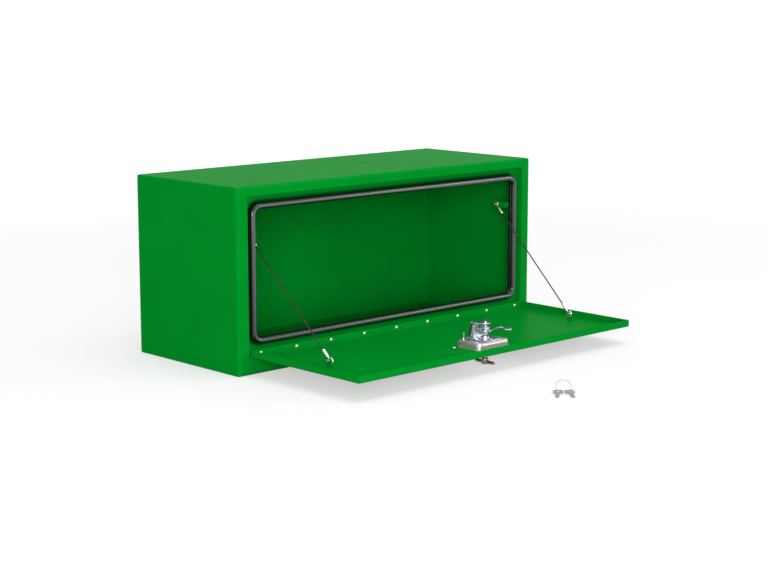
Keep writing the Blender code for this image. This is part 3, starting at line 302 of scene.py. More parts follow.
def add_mesh(name, points, edges, faces):
    mesh = bpy.data.meshes.new(name)
    mesh.from_pydata([tuple(p) for p in points], edges, faces)
    return link(name, mesh)


def add_line(name, points, closed=False):
    """A line of edges through points, for spinning or extruding."""
    count = len(points)
    return add_mesh(name, points, [(i, (i + 1) % count) for i in range(count if closed else count - 1)], [])


def add_curve(name, lines, closed=False, **settings):
    """A mesh from a curve with its bevel, through lines of points."""
    curve = bpy.data.curves.new(name, "CURVE")
    for setting, value in settings.items():
        setattr(curve, setting, value)
    for line in lines:
        spline = curve.splines.new("POLY")
        spline.points.add(len(line) - 1)
        for point, place in zip(spline.points, line):
            point.co = (*place, 1)
        spline.use_cyclic_u = closed
    only(link(name, curve))
    bpy.ops.object.convert(target="MESH")
    return bpy.context.object


def merge(obj):
    """Joins the points that lie in one place, and makes every face look outwards."""
    with editing(obj, "VERT", "SELECT"):
        bpy.ops.mesh.remove_doubles(threshold=WELD)
        bpy.ops.mesh.normals_make_consistent(inside=False)
    return obj


def modify(obj, kind, **settings):
    """Adds a modifier with its settings and applies it."""
    modifier = obj.modifiers.new(kind.title(), kind)
    for name, value in settings.items():
        setattr(modifier, name, value)
    only(obj)
    bpy.ops.object.modifier_apply(modifier=modifier.name)
    return obj


def combine(obj, other, operation="UNION"):
    modify(obj, "BOOLEAN", operation=operation, object=other)
    bpy.data.objects.remove(other, do_unlink=True)
    return obj


def cut(obj, other):
    return combine(obj, other, "DIFFERENCE")


def drill(obj, radius, start, end, sides=48):
    return cut(obj, add_rod("hole", radius, start, end, sides))


def weigh(obj, rule, share=1.0):
    """Gives edges their share of the bend radius."""
    with editing(obj, "EDGE"):
        pick(obj, rule)
        bpy.ops.transform.edge_bevelweight(value=share)


def bend(obj, radius, steps):
    return modify(obj, "BEVEL", limit_method="WEIGHT", width=radius, segments=steps)


def thicken(obj, sheet, offset=-1.0, even=True):
    return modify(obj, "SOLIDIFY", thickness=sheet, offset=offset, use_even_offset=even)


def soften(obj, radius, steps=2, angle=40.0):
    """Breaks the sharp edges of a machined or sheared piece."""
    limits = {"limit_method": "ANGLE", "angle_limit": math.radians(angle)}
    return modify(obj, "BEVEL", width=radius, segments=steps, **limits)


def dress(obj, material, body, node, sharp=35.0, weighted=False):
    """Shades a finished piece, gives it its finish, and sets it on its body in place of its plain solid."""
    only(obj)
    bpy.ops.object.shade_smooth_by_angle(angle=math.radians(sharp))
    if weighted:
        modify(obj, "WEIGHTED_NORMAL", keep_sharp=True, weight=100)
    obj.data.materials.clear()
    obj.data.materials.append(bpy.data.materials[material])
    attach(obj, body)
    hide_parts(node)


def arc(radius, start, end, steps):
    """Points on an arc round the origin, its angles in quarter turns."""
    for step in range(steps + 1):
        angle = QUARTER * (start + (end - start) * step / steps)
        yield radius * math.cos(angle), radius * math.sin(angle)


def rounded(low, high, radius, steps):
    """Points round a rectangle with round corners, anticlockwise."""
    centres = (
        (high[0] - radius, high[1] - radius),
        (low[0] + radius, high[1] - radius),
        (low[0] + radius, low[1] + radius),
        (high[0] - radius, low[1] + radius),
    )
    return [
        (x + dx, y + dy)
        for quarter, (x, y) in enumerate(centres)
        for dx, dy in arc(radius, quarter, quarter + 1, steps)
    ]


def add_plate(name, outlines, thickness, place, edge=0.0):
    """A flat plate from outlines, a second one being a hole, with its edges broken, at a placing matrix."""
    shape = {"dimensions": "2D", "fill_mode": "BOTH", "extrude": thickness / 2 - edge}
    lines = [[(x, y, 0) for x, y in outline] for outline in outlines]
    plate = add_curve(name, lines, True, **shape, bevel_depth=edge, offset=-edge, bevel_resolution=1)
    return merge(put(plate, place))


def turned(name, profile, start, along, steps=48):
    """Spins (radius, distance) pairs round an axis, and closes what it makes."""
    line = add_line(name, [(radius, 0, distance) for radius, distance in profile])
    with editing(line, "VERT", "SELECT"):
        bpy.ops.mesh.spin(steps=steps, angle=2 * math.pi, center=(0, 0, 0), axis=UP)
    return put(merge(line), standing(start, along))


def lofted(name, loops):
    """Extrudes a closed line from each loop of points on to the next."""
    obj = add_line(name, loops[0], closed=True)
    with editing(obj, "EDGE", "SELECT"):
        places = {i: i for i in range(len(loops[0]))}
        for loop in loops[1:]:
            bpy.ops.mesh.extrude_edges_move()
            shape = bmesh.from_edit_mesh(obj.data)
            shape.verts.index_update()
            moved = {}
            for vert in shape.verts:
                if vert.select:
                    others = (edge.other_vert(vert) for edge in vert.link_edges)
                    source = next(other for other in others if not other.select)
                    moved[vert.index] = places[source.index]
                    vert.co = loop[moved[vert.index]]
            places = moved
            bmesh.update_edit_mesh(obj.data)
    return obj


def offset_line(points, distance):
    """The line beside another one, at its left, mitred at the corners."""
    line = [Vector(point) for point in points]
    sides = [Vector((a.y - b.y, b.x - a.x)).normalized() for a, b in zip(line, line[1:])]
    sides = [sides[0], *sides, sides[-1]]
    beside = []
    for point, before, after in zip(line, sides, sides[1:]):
        across = (before + after).normalized()
        beside.append(point + across * distance / across.dot(before))
    return beside


def close_end(obj, rule):
    """Fills an open end, whose vertices a rule takes, and makes every face look outwards."""
    with editing(obj, "EDGE"):
        pick(obj, lambda edge: edge.is_boundary and all(rule(vert) for vert in edge.verts))
        bpy.ops.mesh.edge_face_add()
        bpy.ops.mesh.select_all(action="SELECT")
        bpy.ops.mesh.normals_make_consistent(inside=False)


# Finishes: a noise's scale counts its grains to the metre, so 1000 over it is their size in millimetres


def add_node(tree, kind, inputs=None, stops=(), **settings):
    """Adds a node, whose inputs take values, outputs, or nodes for their first output; a ramp takes stops."""
    made = tree.nodes.new("ShaderNode" + kind)
    for name, value in settings.items():
        setattr(made, name, value)
    for socket, value in (inputs or {}).items():
        if isinstance(value, bpy.types.Node):
            value = value.outputs[0]
        if isinstance(value, bpy.types.NodeSocket):
            tree.links.new(value, made.inputs[socket])
        else:
            made.inputs[socket].default_value = value
    for index, (at, tint) in enumerate(stops):
        made.color_ramp.elements[index].position = at
        made.color_ramp.elements[index].color = tint
    return made


def new_finish(name):
    """A new material's empty tree, and its texture coordinates."""
    material = bpy.data.materials.new(name)
    material.use_nodes = True
    tree = material.node_tree
    tree.nodes.clear()
    return tree, add_node(tree, "TexCoord").outputs["Object"]


def shade(tint, share):
    return tuple(channel * share for channel in tint[:3]) + (1.0,)


def coat(tree, base, rough, grain, strength, depth, constants):
    """Ends a material with the bump of its grain and with its shader."""
    bump = add_node(tree, "Bump", {"Height": grain, "Strength": strength, "Distance": depth})
    inputs = {"Base Color": base, "Roughness": rough, "Normal": bump, **constants}
    add_node(tree, "OutputMaterial", {"Surface": add_node(tree, "BsdfPrincipled", inputs)})


def painted_shade_round_seal(tree, place, base):
    """Paints shade on a colour beside the seal, as the shadow in the recess round it, darkest against the
    seal and fading out.
    """
    seal = props("seal_sizes")
    low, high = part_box("door_seal")
    near = seal.width / 2 + seal.lip_radius
    half = (high - low) / 2
    straight = (half.x - near, 1, half.z - near)
    middle, nil = (low + high) / 2, (0, 0, 0)
    off = place
    for operation, by in (("SUBTRACT", middle), ("ABSOLUTE", nil), ("SUBTRACT", straight), ("MAXIMUM", nil)):
        off = add_node(tree, "VectorMath", {0: off, 1: by}, operation=operation)
    away = add_node(tree, "VectorMath", {0: off}, operation="LENGTH").outputs["Value"]
    # Painted shade: next to the seal the paint keeps 0.12 of its colour, and the shade fades out over 10 mm
    fade = {"Value": away, "From Min": near + 0.001, "From Max": near + 0.011, "To Min": 0.12, "To Max": 1.0}
    share = add_node(tree, "MapRange", fade)
    return add_node(tree, "VectorMath", {0: base, "Scale": share}, operation="SCALE")


def powder_coat(name, tint, seal_shade=False):
    """Polyester powder coat on steel: deep colour, a fine orange peel and a gloss that scuffs slightly."""
    tree, place = new_finish(name)
    # Clouds of 11 cm, scuffs of 26 mm and an orange peel of 2.4 mm
    cloud = add_node(tree, "TexNoise", {"Vector": place, "Scale": 9.0, "Detail": 3.0})
    base = add_node(tree, "ValToRGB", {"Fac": cloud}, [(0.35, shade(tint, 0.93)), (0.65, tint)])
    # Painted shade beside the seal, on the frame's finish only
    if seal_shade:
        base = painted_shade_round_seal(tree, place, base)
    scuff = add_node(tree, "TexNoise", {"Vector": place, "Scale": 38.0, "Detail": 5.0})
    rough = add_node(tree, "MapRange", {"Value": scuff, "To Min": 0.36, "To Max": 0.42})
    peel = add_node(tree, "TexNoise", {"Vector": place, "Scale": 420.0, "Detail": 2.0})
    coat(tree, base, rough, peel, 0.12, 0.00012, {"Specular IOR Level": 0.003})


def rubber(name, tint, highlight_tint=None):
    """Extruded rubber: near black with a waxy sheen, and a highlight painted in grey along its front."""
    tree, place = new_finish(name)
    patch = add_node(tree, "TexNoise", {"Vector": place, "Scale": 60.0, "Detail": 3.0})
    base = add_node(tree, "ValToRGB", {"Fac": patch}, [(0.3, tint), (0.7, shade(tint, 1.7))])
    if highlight_tint:
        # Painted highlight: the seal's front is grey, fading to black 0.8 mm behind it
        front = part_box("door_seal")[0].y
        depth = add_node(tree, "SeparateXYZ", {"Vector": place}).outputs["Y"]
        painted_highlight = {"Value": depth, "From Min": front + 0.0008, "From Max": front + 0.0002}
        base = add_node(tree, "ValToRGB", {"Fac": add_node(tree, "MapRange", painted_highlight)}, [(0, tint), (1, highlight_tint)])
    rough = add_node(tree, "MapRange", {"Value": patch, "To Min": 0.2, "To Max": 0.28})
    # The skin's real grain is far finer than a millimetre, and is drawn at 1.1 mm so that it shows
    grain = add_node(tree, "TexNoise", {"Vector": place, "Scale": 900.0, "Detail": 2.0})
    coat(tree, base, rough, grain, 0.06, 0.0001, {"Specular IOR Level": 0.6})


def plated(name, tint, roughness, grain_scale, strength=0.06, stretch=(1, 1, 1), spot=0.85):
    """Metal with its own grain: even and fine on plating, drawn out one way where it was brushed or drawn."""
    tree, place = new_finish(name)
    drawn = add_node(tree, "Mapping", {"Vector": place, "Scale": stretch})
    # The real grain is far finer than a millimetre, and is drawn at 0.7 to 3.3 mm so that it shows
    fine = add_node(tree, "TexNoise", {"Vector": drawn, "Scale": grain_scale, "Detail": 4.0})
    patch = add_node(tree, "TexNoise", {"Vector": place, "Scale": 110.0, "Detail": 3.0})
    base = add_node(tree, "ValToRGB", {"Fac": patch}, [(0.35, shade(tint, spot)), (0.65, tint)])
    rough = add_node(tree, "MapRange", {"Value": fine, "To Min": roughness * 0.75, "To Max": roughness * 1.3})
    coat(tree, base, rough, fine, strength, 0.0001, {"Metallic": 1.0})


# Cabinet


def folded_pan(name, node, open_sides, radius, bent):
    """A node's block with its open sides taken off, its bends rounded and its sheet thickened inwards."""
    sizes = props("cabinet_sizes")
    pan = add_block(name, *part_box(node))
    for side in open_sides:
        with editing(pan, "FACE"):
            pick(pan, facing(side))
            bpy.ops.mesh.delete(type="ONLY_FACE")
    weigh(pan, bent)
    bend(pan, radius, sizes.bend_steps)
    return thicken(pan, sizes.sheet)


class TOOLBOX_OT_cabinet(Operator):
    """Models the folded cabinet and its back panel"""

    bl_idname = "toolbox.cabinet"
    bl_label = "Cabinet"

    def execute(self, context):
        sizes = props("cabinet_sizes")
        self.shell(sizes)
        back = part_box("back_panel")[1].y

        def bent(edge):
            return max(v.co.y for v in edge.verts) > back - WELD and not edge.is_boundary

        panel = folded_pan("back_pan", "back_panel", [(0, -1, 0)], sizes.long_bend, bent)
        dress(panel, "powder_coat", "box", "back_panel", weighted=True)
        return {"FINISHED"}

    def shell(self, sizes):
        """A block without its back, whose front is inset to the mouth's borders and folded in."""
        low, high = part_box("cabinet_wrapper")
        shell = add_block("cabinet_shell", low, high)
        inset = sizes.mouth_top
        mouth_area = 0.1
        with editing(shell, "FACE"):
            pick(shell, facing((0, 1, 0)))
            bpy.ops.mesh.delete(type="ONLY_FACE")
            pick(shell, facing((0, -1, 0)))
            bpy.ops.mesh.inset(thickness=inset)
        side = sizes.mouth_side - inset
        rise = sizes.mouth_bottom - inset
        for axis, place, move in (
            (0, high.x - inset, (-side, 0, 0)),
            (0, inset - high.x, (side, 0, 0)),
            (2, inset, (0, 0, rise)),
        ):
            with editing(shell, "VERT"):
                pick(shell, lambda v: v.co.y < low.y + WELD and abs(v.co[axis] - place) < WELD)
                bpy.ops.transform.translate(value=move)

        def in_mouth(face):
            return face.normal.y < -0.9 and face.calc_area() > mouth_area

        with editing(shell, "FACE"):
            pick(shell, in_mouth)
            bpy.ops.mesh.extrude_region_move(TRANSFORM_OT_translate={"value": (0, sizes.mouth_return, 0)})
            bpy.ops.mesh.delete(type="ONLY_FACE")

        def outside(vert):
            on_side = abs(abs(vert.co.x) - high.x) < WELD
            return on_side and min(vert.co.z - low.z, high.z - vert.co.z) < WELD

        def round_front(edge):
            return all(outside(v) and v.co.y < 0 for v in edge.verts)

        def along_depth(edge):
            return all(outside(v) for v in edge.verts) and edge.verts[0].co.y * edge.verts[1].co.y < 0

        weigh(shell, round_front)
        weigh(shell, along_depth, sizes.long_bend / sizes.front_bend)
        bend(shell, sizes.front_bend, sizes.bend_steps)
        thicken(shell, sizes.sheet)
        dress(shell, "powder_coat", "box", "cabinet_wrapper", weighted=True)


class TOOLBOX_OT_mouth(Operator):
    """Models the frame behind the mouth, the rubber seal on its lip and the latch's strike"""

    bl_idname = "toolbox.mouth"
    bl_label = "Frame and seal"

    def execute(self, context):
        sizes = props("cabinet_sizes")
        seal = props("seal_sizes")
        self.frame_low, self.frame_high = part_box("door_frame")
        self.seal_low, self.seal_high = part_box("door_seal")
        self.frame_piece(sizes, seal)
        self.seal_piece(sizes, seal)
        self.strike_piece(sizes)
        return {"FINISHED"}

    def strike_piece(self, sizes):
        """A channel that is open upwards, whose back leg the cam catches."""
        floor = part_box("latch_strike")[0].z

        def bent(edge):
            return all(v.co.z < floor + WELD for v in edge.verts) and edge.verts[0].co.y == edge.verts[1].co.y

        open_sides = [UP, (1, 0, 0), (-1, 0, 0)]
        channel = folded_pan("strike_channel", "latch_strike", open_sides, sizes.door_bend, bent)
        dress(channel, "powder_coat", "box", "latch_strike")

    def lip(self, seal, grow, depth):
        """The lip's centre line, which lies in the middle of the seal, grown outwards, at a depth."""
        inset = seal.width / 2 - grow
        low = (self.seal_low.x + inset, self.seal_low.z + inset)
        high = (self.seal_high.x - inset, self.seal_high.z - inset)
        return [(x, depth, z) for x, z in rounded(low, high, seal.lip_radius + grow, seal.steps)]

    def frame_piece(self, sizes, seal):
        """A flat ring whose inner edge is drawn forward into the lip, its section swept round the mouth."""
        low, high = self.frame_low, self.frame_high
        sheet = sizes.sheet
        radius = sheet * 1.25
        inner = [(radius * 2, high.y)]
        inner += [(radius - back, high.y - radius + across) for across, back in arc(radius, 0, 1, 5)]
        inner = [(grow - sheet / 2, depth) for grow, depth in [*inner, (0, low.y)]]
        outer = offset_line(inner, sheet)
        edge = rounded((low.x, low.z), (high.x, high.z), sheet, seal.steps)
        loops = [[(x, depth, z) for x, z in edge] for depth in (high.y - sheet, high.y)]
        loops += [self.lip(seal, grow, depth) for grow, depth in inner + outer[::-1]]
        piece = merge(lofted("door_frame_pressing", [*loops, loops[0]]))
        # The frame's finish has shade painted on it beside the seal
        dress(piece, "powder_coat_painted_shade", "box", "door_frame", sharp=40.0)

    def seal_piece(self, sizes, seal):
        """The trim's section, from the bulb in front to the two legs of its slot, swept round the lip."""
        front, back = self.seal_low.y, self.seal_high.y
        half = seal.width / 2
        leg = half * 0.97
        slot = seal.wall / 2
        floor = self.frame_high.y - sizes.sheet - CLEARANCE
        lip_front = self.frame_low.y - CLEARANCE
        neck = half - seal.neck
        waist = front + half * 1.35
        section = [
            (neck, waist),
            *((half * x, front + half - half * y) for x, y in arc(1, 0, 2, 24)),
            (-neck, waist),
            (-leg, waist + seal.neck),
            (-leg, back),
            (-slot, back),
            (-slot, lip_front),
            (slot, lip_front),
            (slot, floor),
            (leg, floor),
            (leg, waist + seal.neck),
        ]
        loops = [self.lip(seal, across, depth) for across, depth in section]
        piece = merge(lofted("door_seal_trim", [*loops, loops[0]]))
        dress(piece, "rubber", "box", "door_seal", sharp=50.0)


# Door and hinge


class TOOLBOX_OT_door(Operator):
    """Models the door pan with the hole for the latch"""

    bl_idname = "toolbox.door"
    bl_label = "Door"

    def execute(self, context):
        sizes = props("cabinet_sizes")
        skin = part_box("door_pan")[0].z

        def bent(edge):
            return max(v.co.z for v in edge.verts) < skin + WELD

        pan = folded_pan("door_skin", "door_pan", [UP], sizes.door_bend, bent)
        dish_low, dish_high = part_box("latch_dish")
        side, end = 0.0150, 0.0068
        hole_low = (dish_low.x + side - CLEARANCE, dish_low.y + end)
        hole_high = (dish_high.x - side + CLEARANCE, dish_high.y - end)
        hole = rounded(hole_low, hole_high, props("latch_sizes").dish_corner, 12)
        cut(pan, add_plate("dish_hole", [hole], sizes.sheet * 3, Matrix.Translation((0, 0, skin))))
        dress(pan, "powder_coat", "door", "door_pan", weighted=True)
        return {"FINISHED"}


class TOOLBOX_OT_hinge(Operator):
    """Models the hinge's two leaves, rolled round the pin"""

    bl_idname = "toolbox.hinge"
    bl_label = "Hinge"

    def execute(self, context):
        sizes = props("hinge_sizes")
        reach = sizes.knuckle + CLEARANCE
        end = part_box("hinge_leaf_cabinet")[1].y
        level = HINGE.z - sizes.knuckle
        rows = ((end, level), (HINGE.y + reach, level), (HINGE.y, level))
        self.leaf(sizes, "cabinet", "box", 0, rows, 1)
        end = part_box("hinge_leaf_door")[1].z
        level = HINGE.y - sizes.knuckle
        rows = ((level, end), (level, HINGE.z + reach), (level, HINGE.z))
        self.leaf(sizes, "door", "door", 1, rows, -1)
        low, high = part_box("hinge_pin")
        radius = (high.z - low.z) / 2
        ends = ((low.x, HINGE.y, HINGE.z), (high.x, HINGE.y, HINGE.z))
        pin = soften(add_rod("hinge_pin_rod", radius, *ends), radius * 0.3, 3)
        dress(pin, "zinc", "box", "hinge_pin")
        return {"FINISHED"}

    def leaf(self, sizes, side_name, body, first, rows, way):
        """A strip cut into fingers at its root, whose fingers are spun round the hinge's axis."""
        node = f"hinge_leaf_{side_name}"
        low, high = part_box(node)
        each = (high.x - low.x) / sizes.count
        half_gap = sizes.gap / 2
        xs = [low.x + i * each + at for i in range(sizes.count) for at in (half_gap, each - half_gap)]
        count = len(xs)
        faces = [(i, i + 1, count + i + 1, count + i) for i in range(count - 1)]
        own = [count + 2 * i for i in range(first, sizes.count, 2)]
        faces += [(i, i + 1, count + i + 1, count + i) for i in own]
        leaf = add_mesh(f"rolled_leaf_{side_name}", [(x, y, z) for y, z in rows for x in xs], [], faces)
        root, wrap = Vector(rows[-1]), way * math.radians(288)
        with editing(leaf, "EDGE"):
            pick(leaf, lambda e: all((v.co.yz - root).length < WELD for v in e.verts) and e.is_boundary)
            bpy.ops.mesh.spin(steps=20, angle=wrap, center=HINGE, axis=(1, 0, 0))
        with editing(leaf, "VERT", "SELECT"):
            bpy.ops.mesh.delete_loose()
        merge(leaf)
        reach = sizes.knuckle * 1.02
        spun = [face for face in leaf.data.polygons if (face.center.yz - HINGE.yz).length < reach]
        away = sum((face.center - HINGE).yz.dot(face.normal.yz) for face in spun)
        thicken(leaf, sizes.leaf, -1.0 if away > 0 else 1.0, even=False)
        dress(leaf, "powder_coat", body, node, sharp=40.0)


class TOOLBOX_OT_rivets(Operator):
    """Sets the round-headed rivets of the hinge and of the latch dish"""

    bl_idname = "toolbox.rivets"
    bl_label = "Rivets"

    def execute(self, context):
        for node in sorted(name for name in frame["nodes"] if "rivet" in name):
            low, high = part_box(node)
            middle = (low + high) / 2
            if node.startswith("hinge"):
                rise = high.y - low.y
                place = Matrix.Translation((middle.x, high.y, middle.z)) @ Matrix.Rotation(QUARTER, 4, "X")
            else:
                rise = high.z - low.z
                place = Matrix.Translation((middle.x, middle.y, low.z))
            profile = self.profile((high.x - low.x) / 2, rise)
            rivet = turned(node.replace("rivet", "round_rivet"), profile, (0, 0, 0), UP, 32)
            dress(put(rivet, place), "aluminium", "door", node)
        return {"FINISHED"}

    def profile(self, radius, rise):
        """The domed head down to its rim, the shank, and the upset tail."""
        shank = radius * 0.42
        head = radius * 0.46
        neck = rise - head
        dome = [(radius * x, neck + head * y) for x, y in arc(1, 1, 0, 8)]
        rim = [(radius * 0.98, neck - CLEARANCE / 3), (shank, neck), (shank, radius * 0.2)]
        tail = [(0.66, 0.18), (0.6, 0.04), (0.4, 0), (0, 0)]
        return dome + rim + [(radius * x, radius * y) for x, y in tail]


# Latch


def on_spindle(z):
    return (SPINDLE.x, SPINDLE.y, z)


def on_fold(y):
    return (SPINDLE.x, SPINDLE.y + y, FOLD.z)


def turned_on_spindle(name, profile, z, steps=64):
    return turned(name, profile, on_spindle(z), UP, steps)


class TOOLBOX_OT_dish(Operator):
    """Models the drawn dish and the stud on it"""

    bl_idname = "toolbox.dish"
    bl_label = "Latch dish"

    def execute(self, context):
        self.dish(props("latch_sizes"))
        self.stud()
        return {"FINISHED"}

    def dish(self, sizes):
        """One loft: from the middle of the ceiling's underside out to the rim, and back over the top."""
        low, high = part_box("latch_dish")
        sheet, corner = sizes.dish_sheet, sizes.dish_corner
        side_flange, end_flange = 0.0152, 0.0080
        draft, root, crown = 0.0015, 0.0024, 0.0052
        steps = 12
        top = high.z - sheet
        centre = (low.x + high.x) / 2
        middle = (high.y - low.y) / 2 - end_flange

        def loop(grow, z):
            near = (low.x + side_flange - grow, low.y + end_flange - grow)
            far = (high.x - side_flange + grow, high.y - end_flange + grow)
            return [(x, y, z) for x, y in rounded(near, far, max(corner + grow, sheet), steps)]

        under = [(end_flange / 2, low.z)]
        under += [(root - sheet - x, low.z + root + y) for x, y in arc(root, -1, 0, 6)]
        under += [(x - sheet - draft - crown, top - crown + y) for x, y in arc(crown, 0, 1, 9)]
        under.append((-middle * 0.42, top))
        over = offset_line(under, -sheet)
        rim = rounded(low.xy, high.xy, corner / 3, steps)
        loops = [loop(*level) for level in reversed(under)]
        loops += [[(x, y, z) for x, y in rim] for z in (low.z, low.z + sheet)]
        loops += [loop(*level) for level in over]
        dish = lofted("drawn_dish", loops)
        reach = middle * 1.4
        for level in (top, high.z):
            close_end(dish, lambda vert: abs(vert.co.x - centre) < reach and abs(vert.co.z - level) < WELD)
        drill(dish, SPINDLE_HOLE, on_spindle(high.z - 4 * sheet), on_spindle(high.z + sheet))
        dress(dish, "stainless", "door", "latch_dish")

    def stud(self):
        """A threaded stud on its round foot."""
        low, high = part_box("dish_stud")
        middle = (low + high) / 2
        foot, long = (high.x - low.x) / 2, high.z - low.z
        tip = foot * 0.25
        turns = 11
        pitch = (long * 0.78) / turns
        profile = [(0, long), (foot * 0.3, long), (foot * 0.5, long - tip)]
        for index in range(turns):
            z = long - tip - index * pitch
            profile += [(foot * 0.5, z - pitch * 0.25), (foot * 0.4, z - pitch * 0.6)]
        profile += [(foot * 0.5, foot * 0.3), (foot * 0.9, tip), (foot, 0), (0, 0)]
        stud = turned("dish_stud_screw", profile, (middle.x, middle.y, low.z), UP, 24)
        dress(stud, "zinc", "door", "dish_stud")


class TOOLBOX_OT_bracket(Operator):
    """Folds the bracket that stands on the dish over the spindle"""

    bl_idname = "toolbox.bracket"
    bl_label = "Bracket"

    lean: FloatProperty(name="Lean", description="How far the left edge leans", default=0.012, unit="LENGTH")
    tongue: FloatProperty(name="Tongue", description="Half width of the tongue", default=0.014, unit="LENGTH")
    gusset: FloatProperty(name="Gusset", description="Depth of the gusset", default=0.024, unit="LENGTH")

    def execute(self, context):
        sizes = props("latch_sizes")
        low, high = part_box("latch_bracket")
        sheet = sizes.bracket_sheet
        gusset_low, gusset_high = 0.14, 0.88
        tongue_back, broken = 0.012, 0.00025

        def left_edge(share, forward=0.0):
            return (low.x + self.lean * share, high.y - forward, low.z + (high.z - low.z) * share)

        points = [left_edge(0), (high.x, high.y, low.z), (high.x, high.y, high.z), left_edge(1)]
        points += [left_edge(gusset_high), left_edge(gusset_low), low, (high.x, low.y, low.z)]
        centre = SPINDLE.y - tongue_back + self.tongue
        nose = [(SPINDLE.x + x, centre + y, high.z) for x, y in arc(self.tongue, -2, 0, 18)]
        first, last = len(points), len(points) + len(nose)
        points += [*nose, left_edge(gusset_high, self.gusset * 0.4), left_edge(gusset_low, self.gusset)]
        faces = [(1, 2, 3, 4, 5, 0), (1, 0, 6, 7), (3, *range(first, last), 2), (5, 4, last, last + 1)]
        bracket = merge(add_mesh("folded_bracket", points, [], faces))
        web = max(bracket.data.polygons, key=lambda face: abs(face.normal.y) * face.area).normal.y
        weigh(bracket, lambda edge: not edge.is_boundary)
        bend(bracket, sizes.bracket_bend, 5)
        thicken(bracket, sheet, -1.0 if web > 0 else 1.0)
        for z, radius in ((low.z, SPINDLE_HOLE), (high.z, NOSE_HOLE)):
            drill(bracket, radius, on_spindle(z - 2 * sheet), on_spindle(z + 2 * sheet))
        soften(bracket, broken, 2, 50.0)
        dress(bracket, "zinc", "door", "latch_bracket")
        return {"FINISHED"}


def threaded(radius, root, top, bottom, pitch):
    """Profile of a thread, from its top down to its bottom."""
    turns = max(1, int((top - bottom) / pitch))
    step = (top - bottom) / turns
    points = []
    for index in range(turns):
        z = top - index * step
        points += [(root, z), (radius, z - step * 0.45), (radius, z - step * 0.55)]
    return points + [(root, bottom)]


def hex_nut(name, radius, bore, height, start, along):
    """A hexagon with both its faces chamfered round, and a bore."""
    start, along = Vector(start), Vector(along)
    nut = add_rod(name, radius, start, start + along * height, 6)
    chamfer = radius * 0.12
    inner, outer = radius * 0.84 - chamfer * 2, radius * 0.84 + chamfer * 2
    profile = [(0, height + chamfer), (inner, height + chamfer), (outer, height - chamfer)]
    profile += [(outer, chamfer), (inner, -chamfer), (0, -chamfer)]
    combine(nut, turned("nut_chamfer", profile, start, along, 50), "INTERSECT")
    return drill(nut, bore, start - along * height, start + along * height * 2)


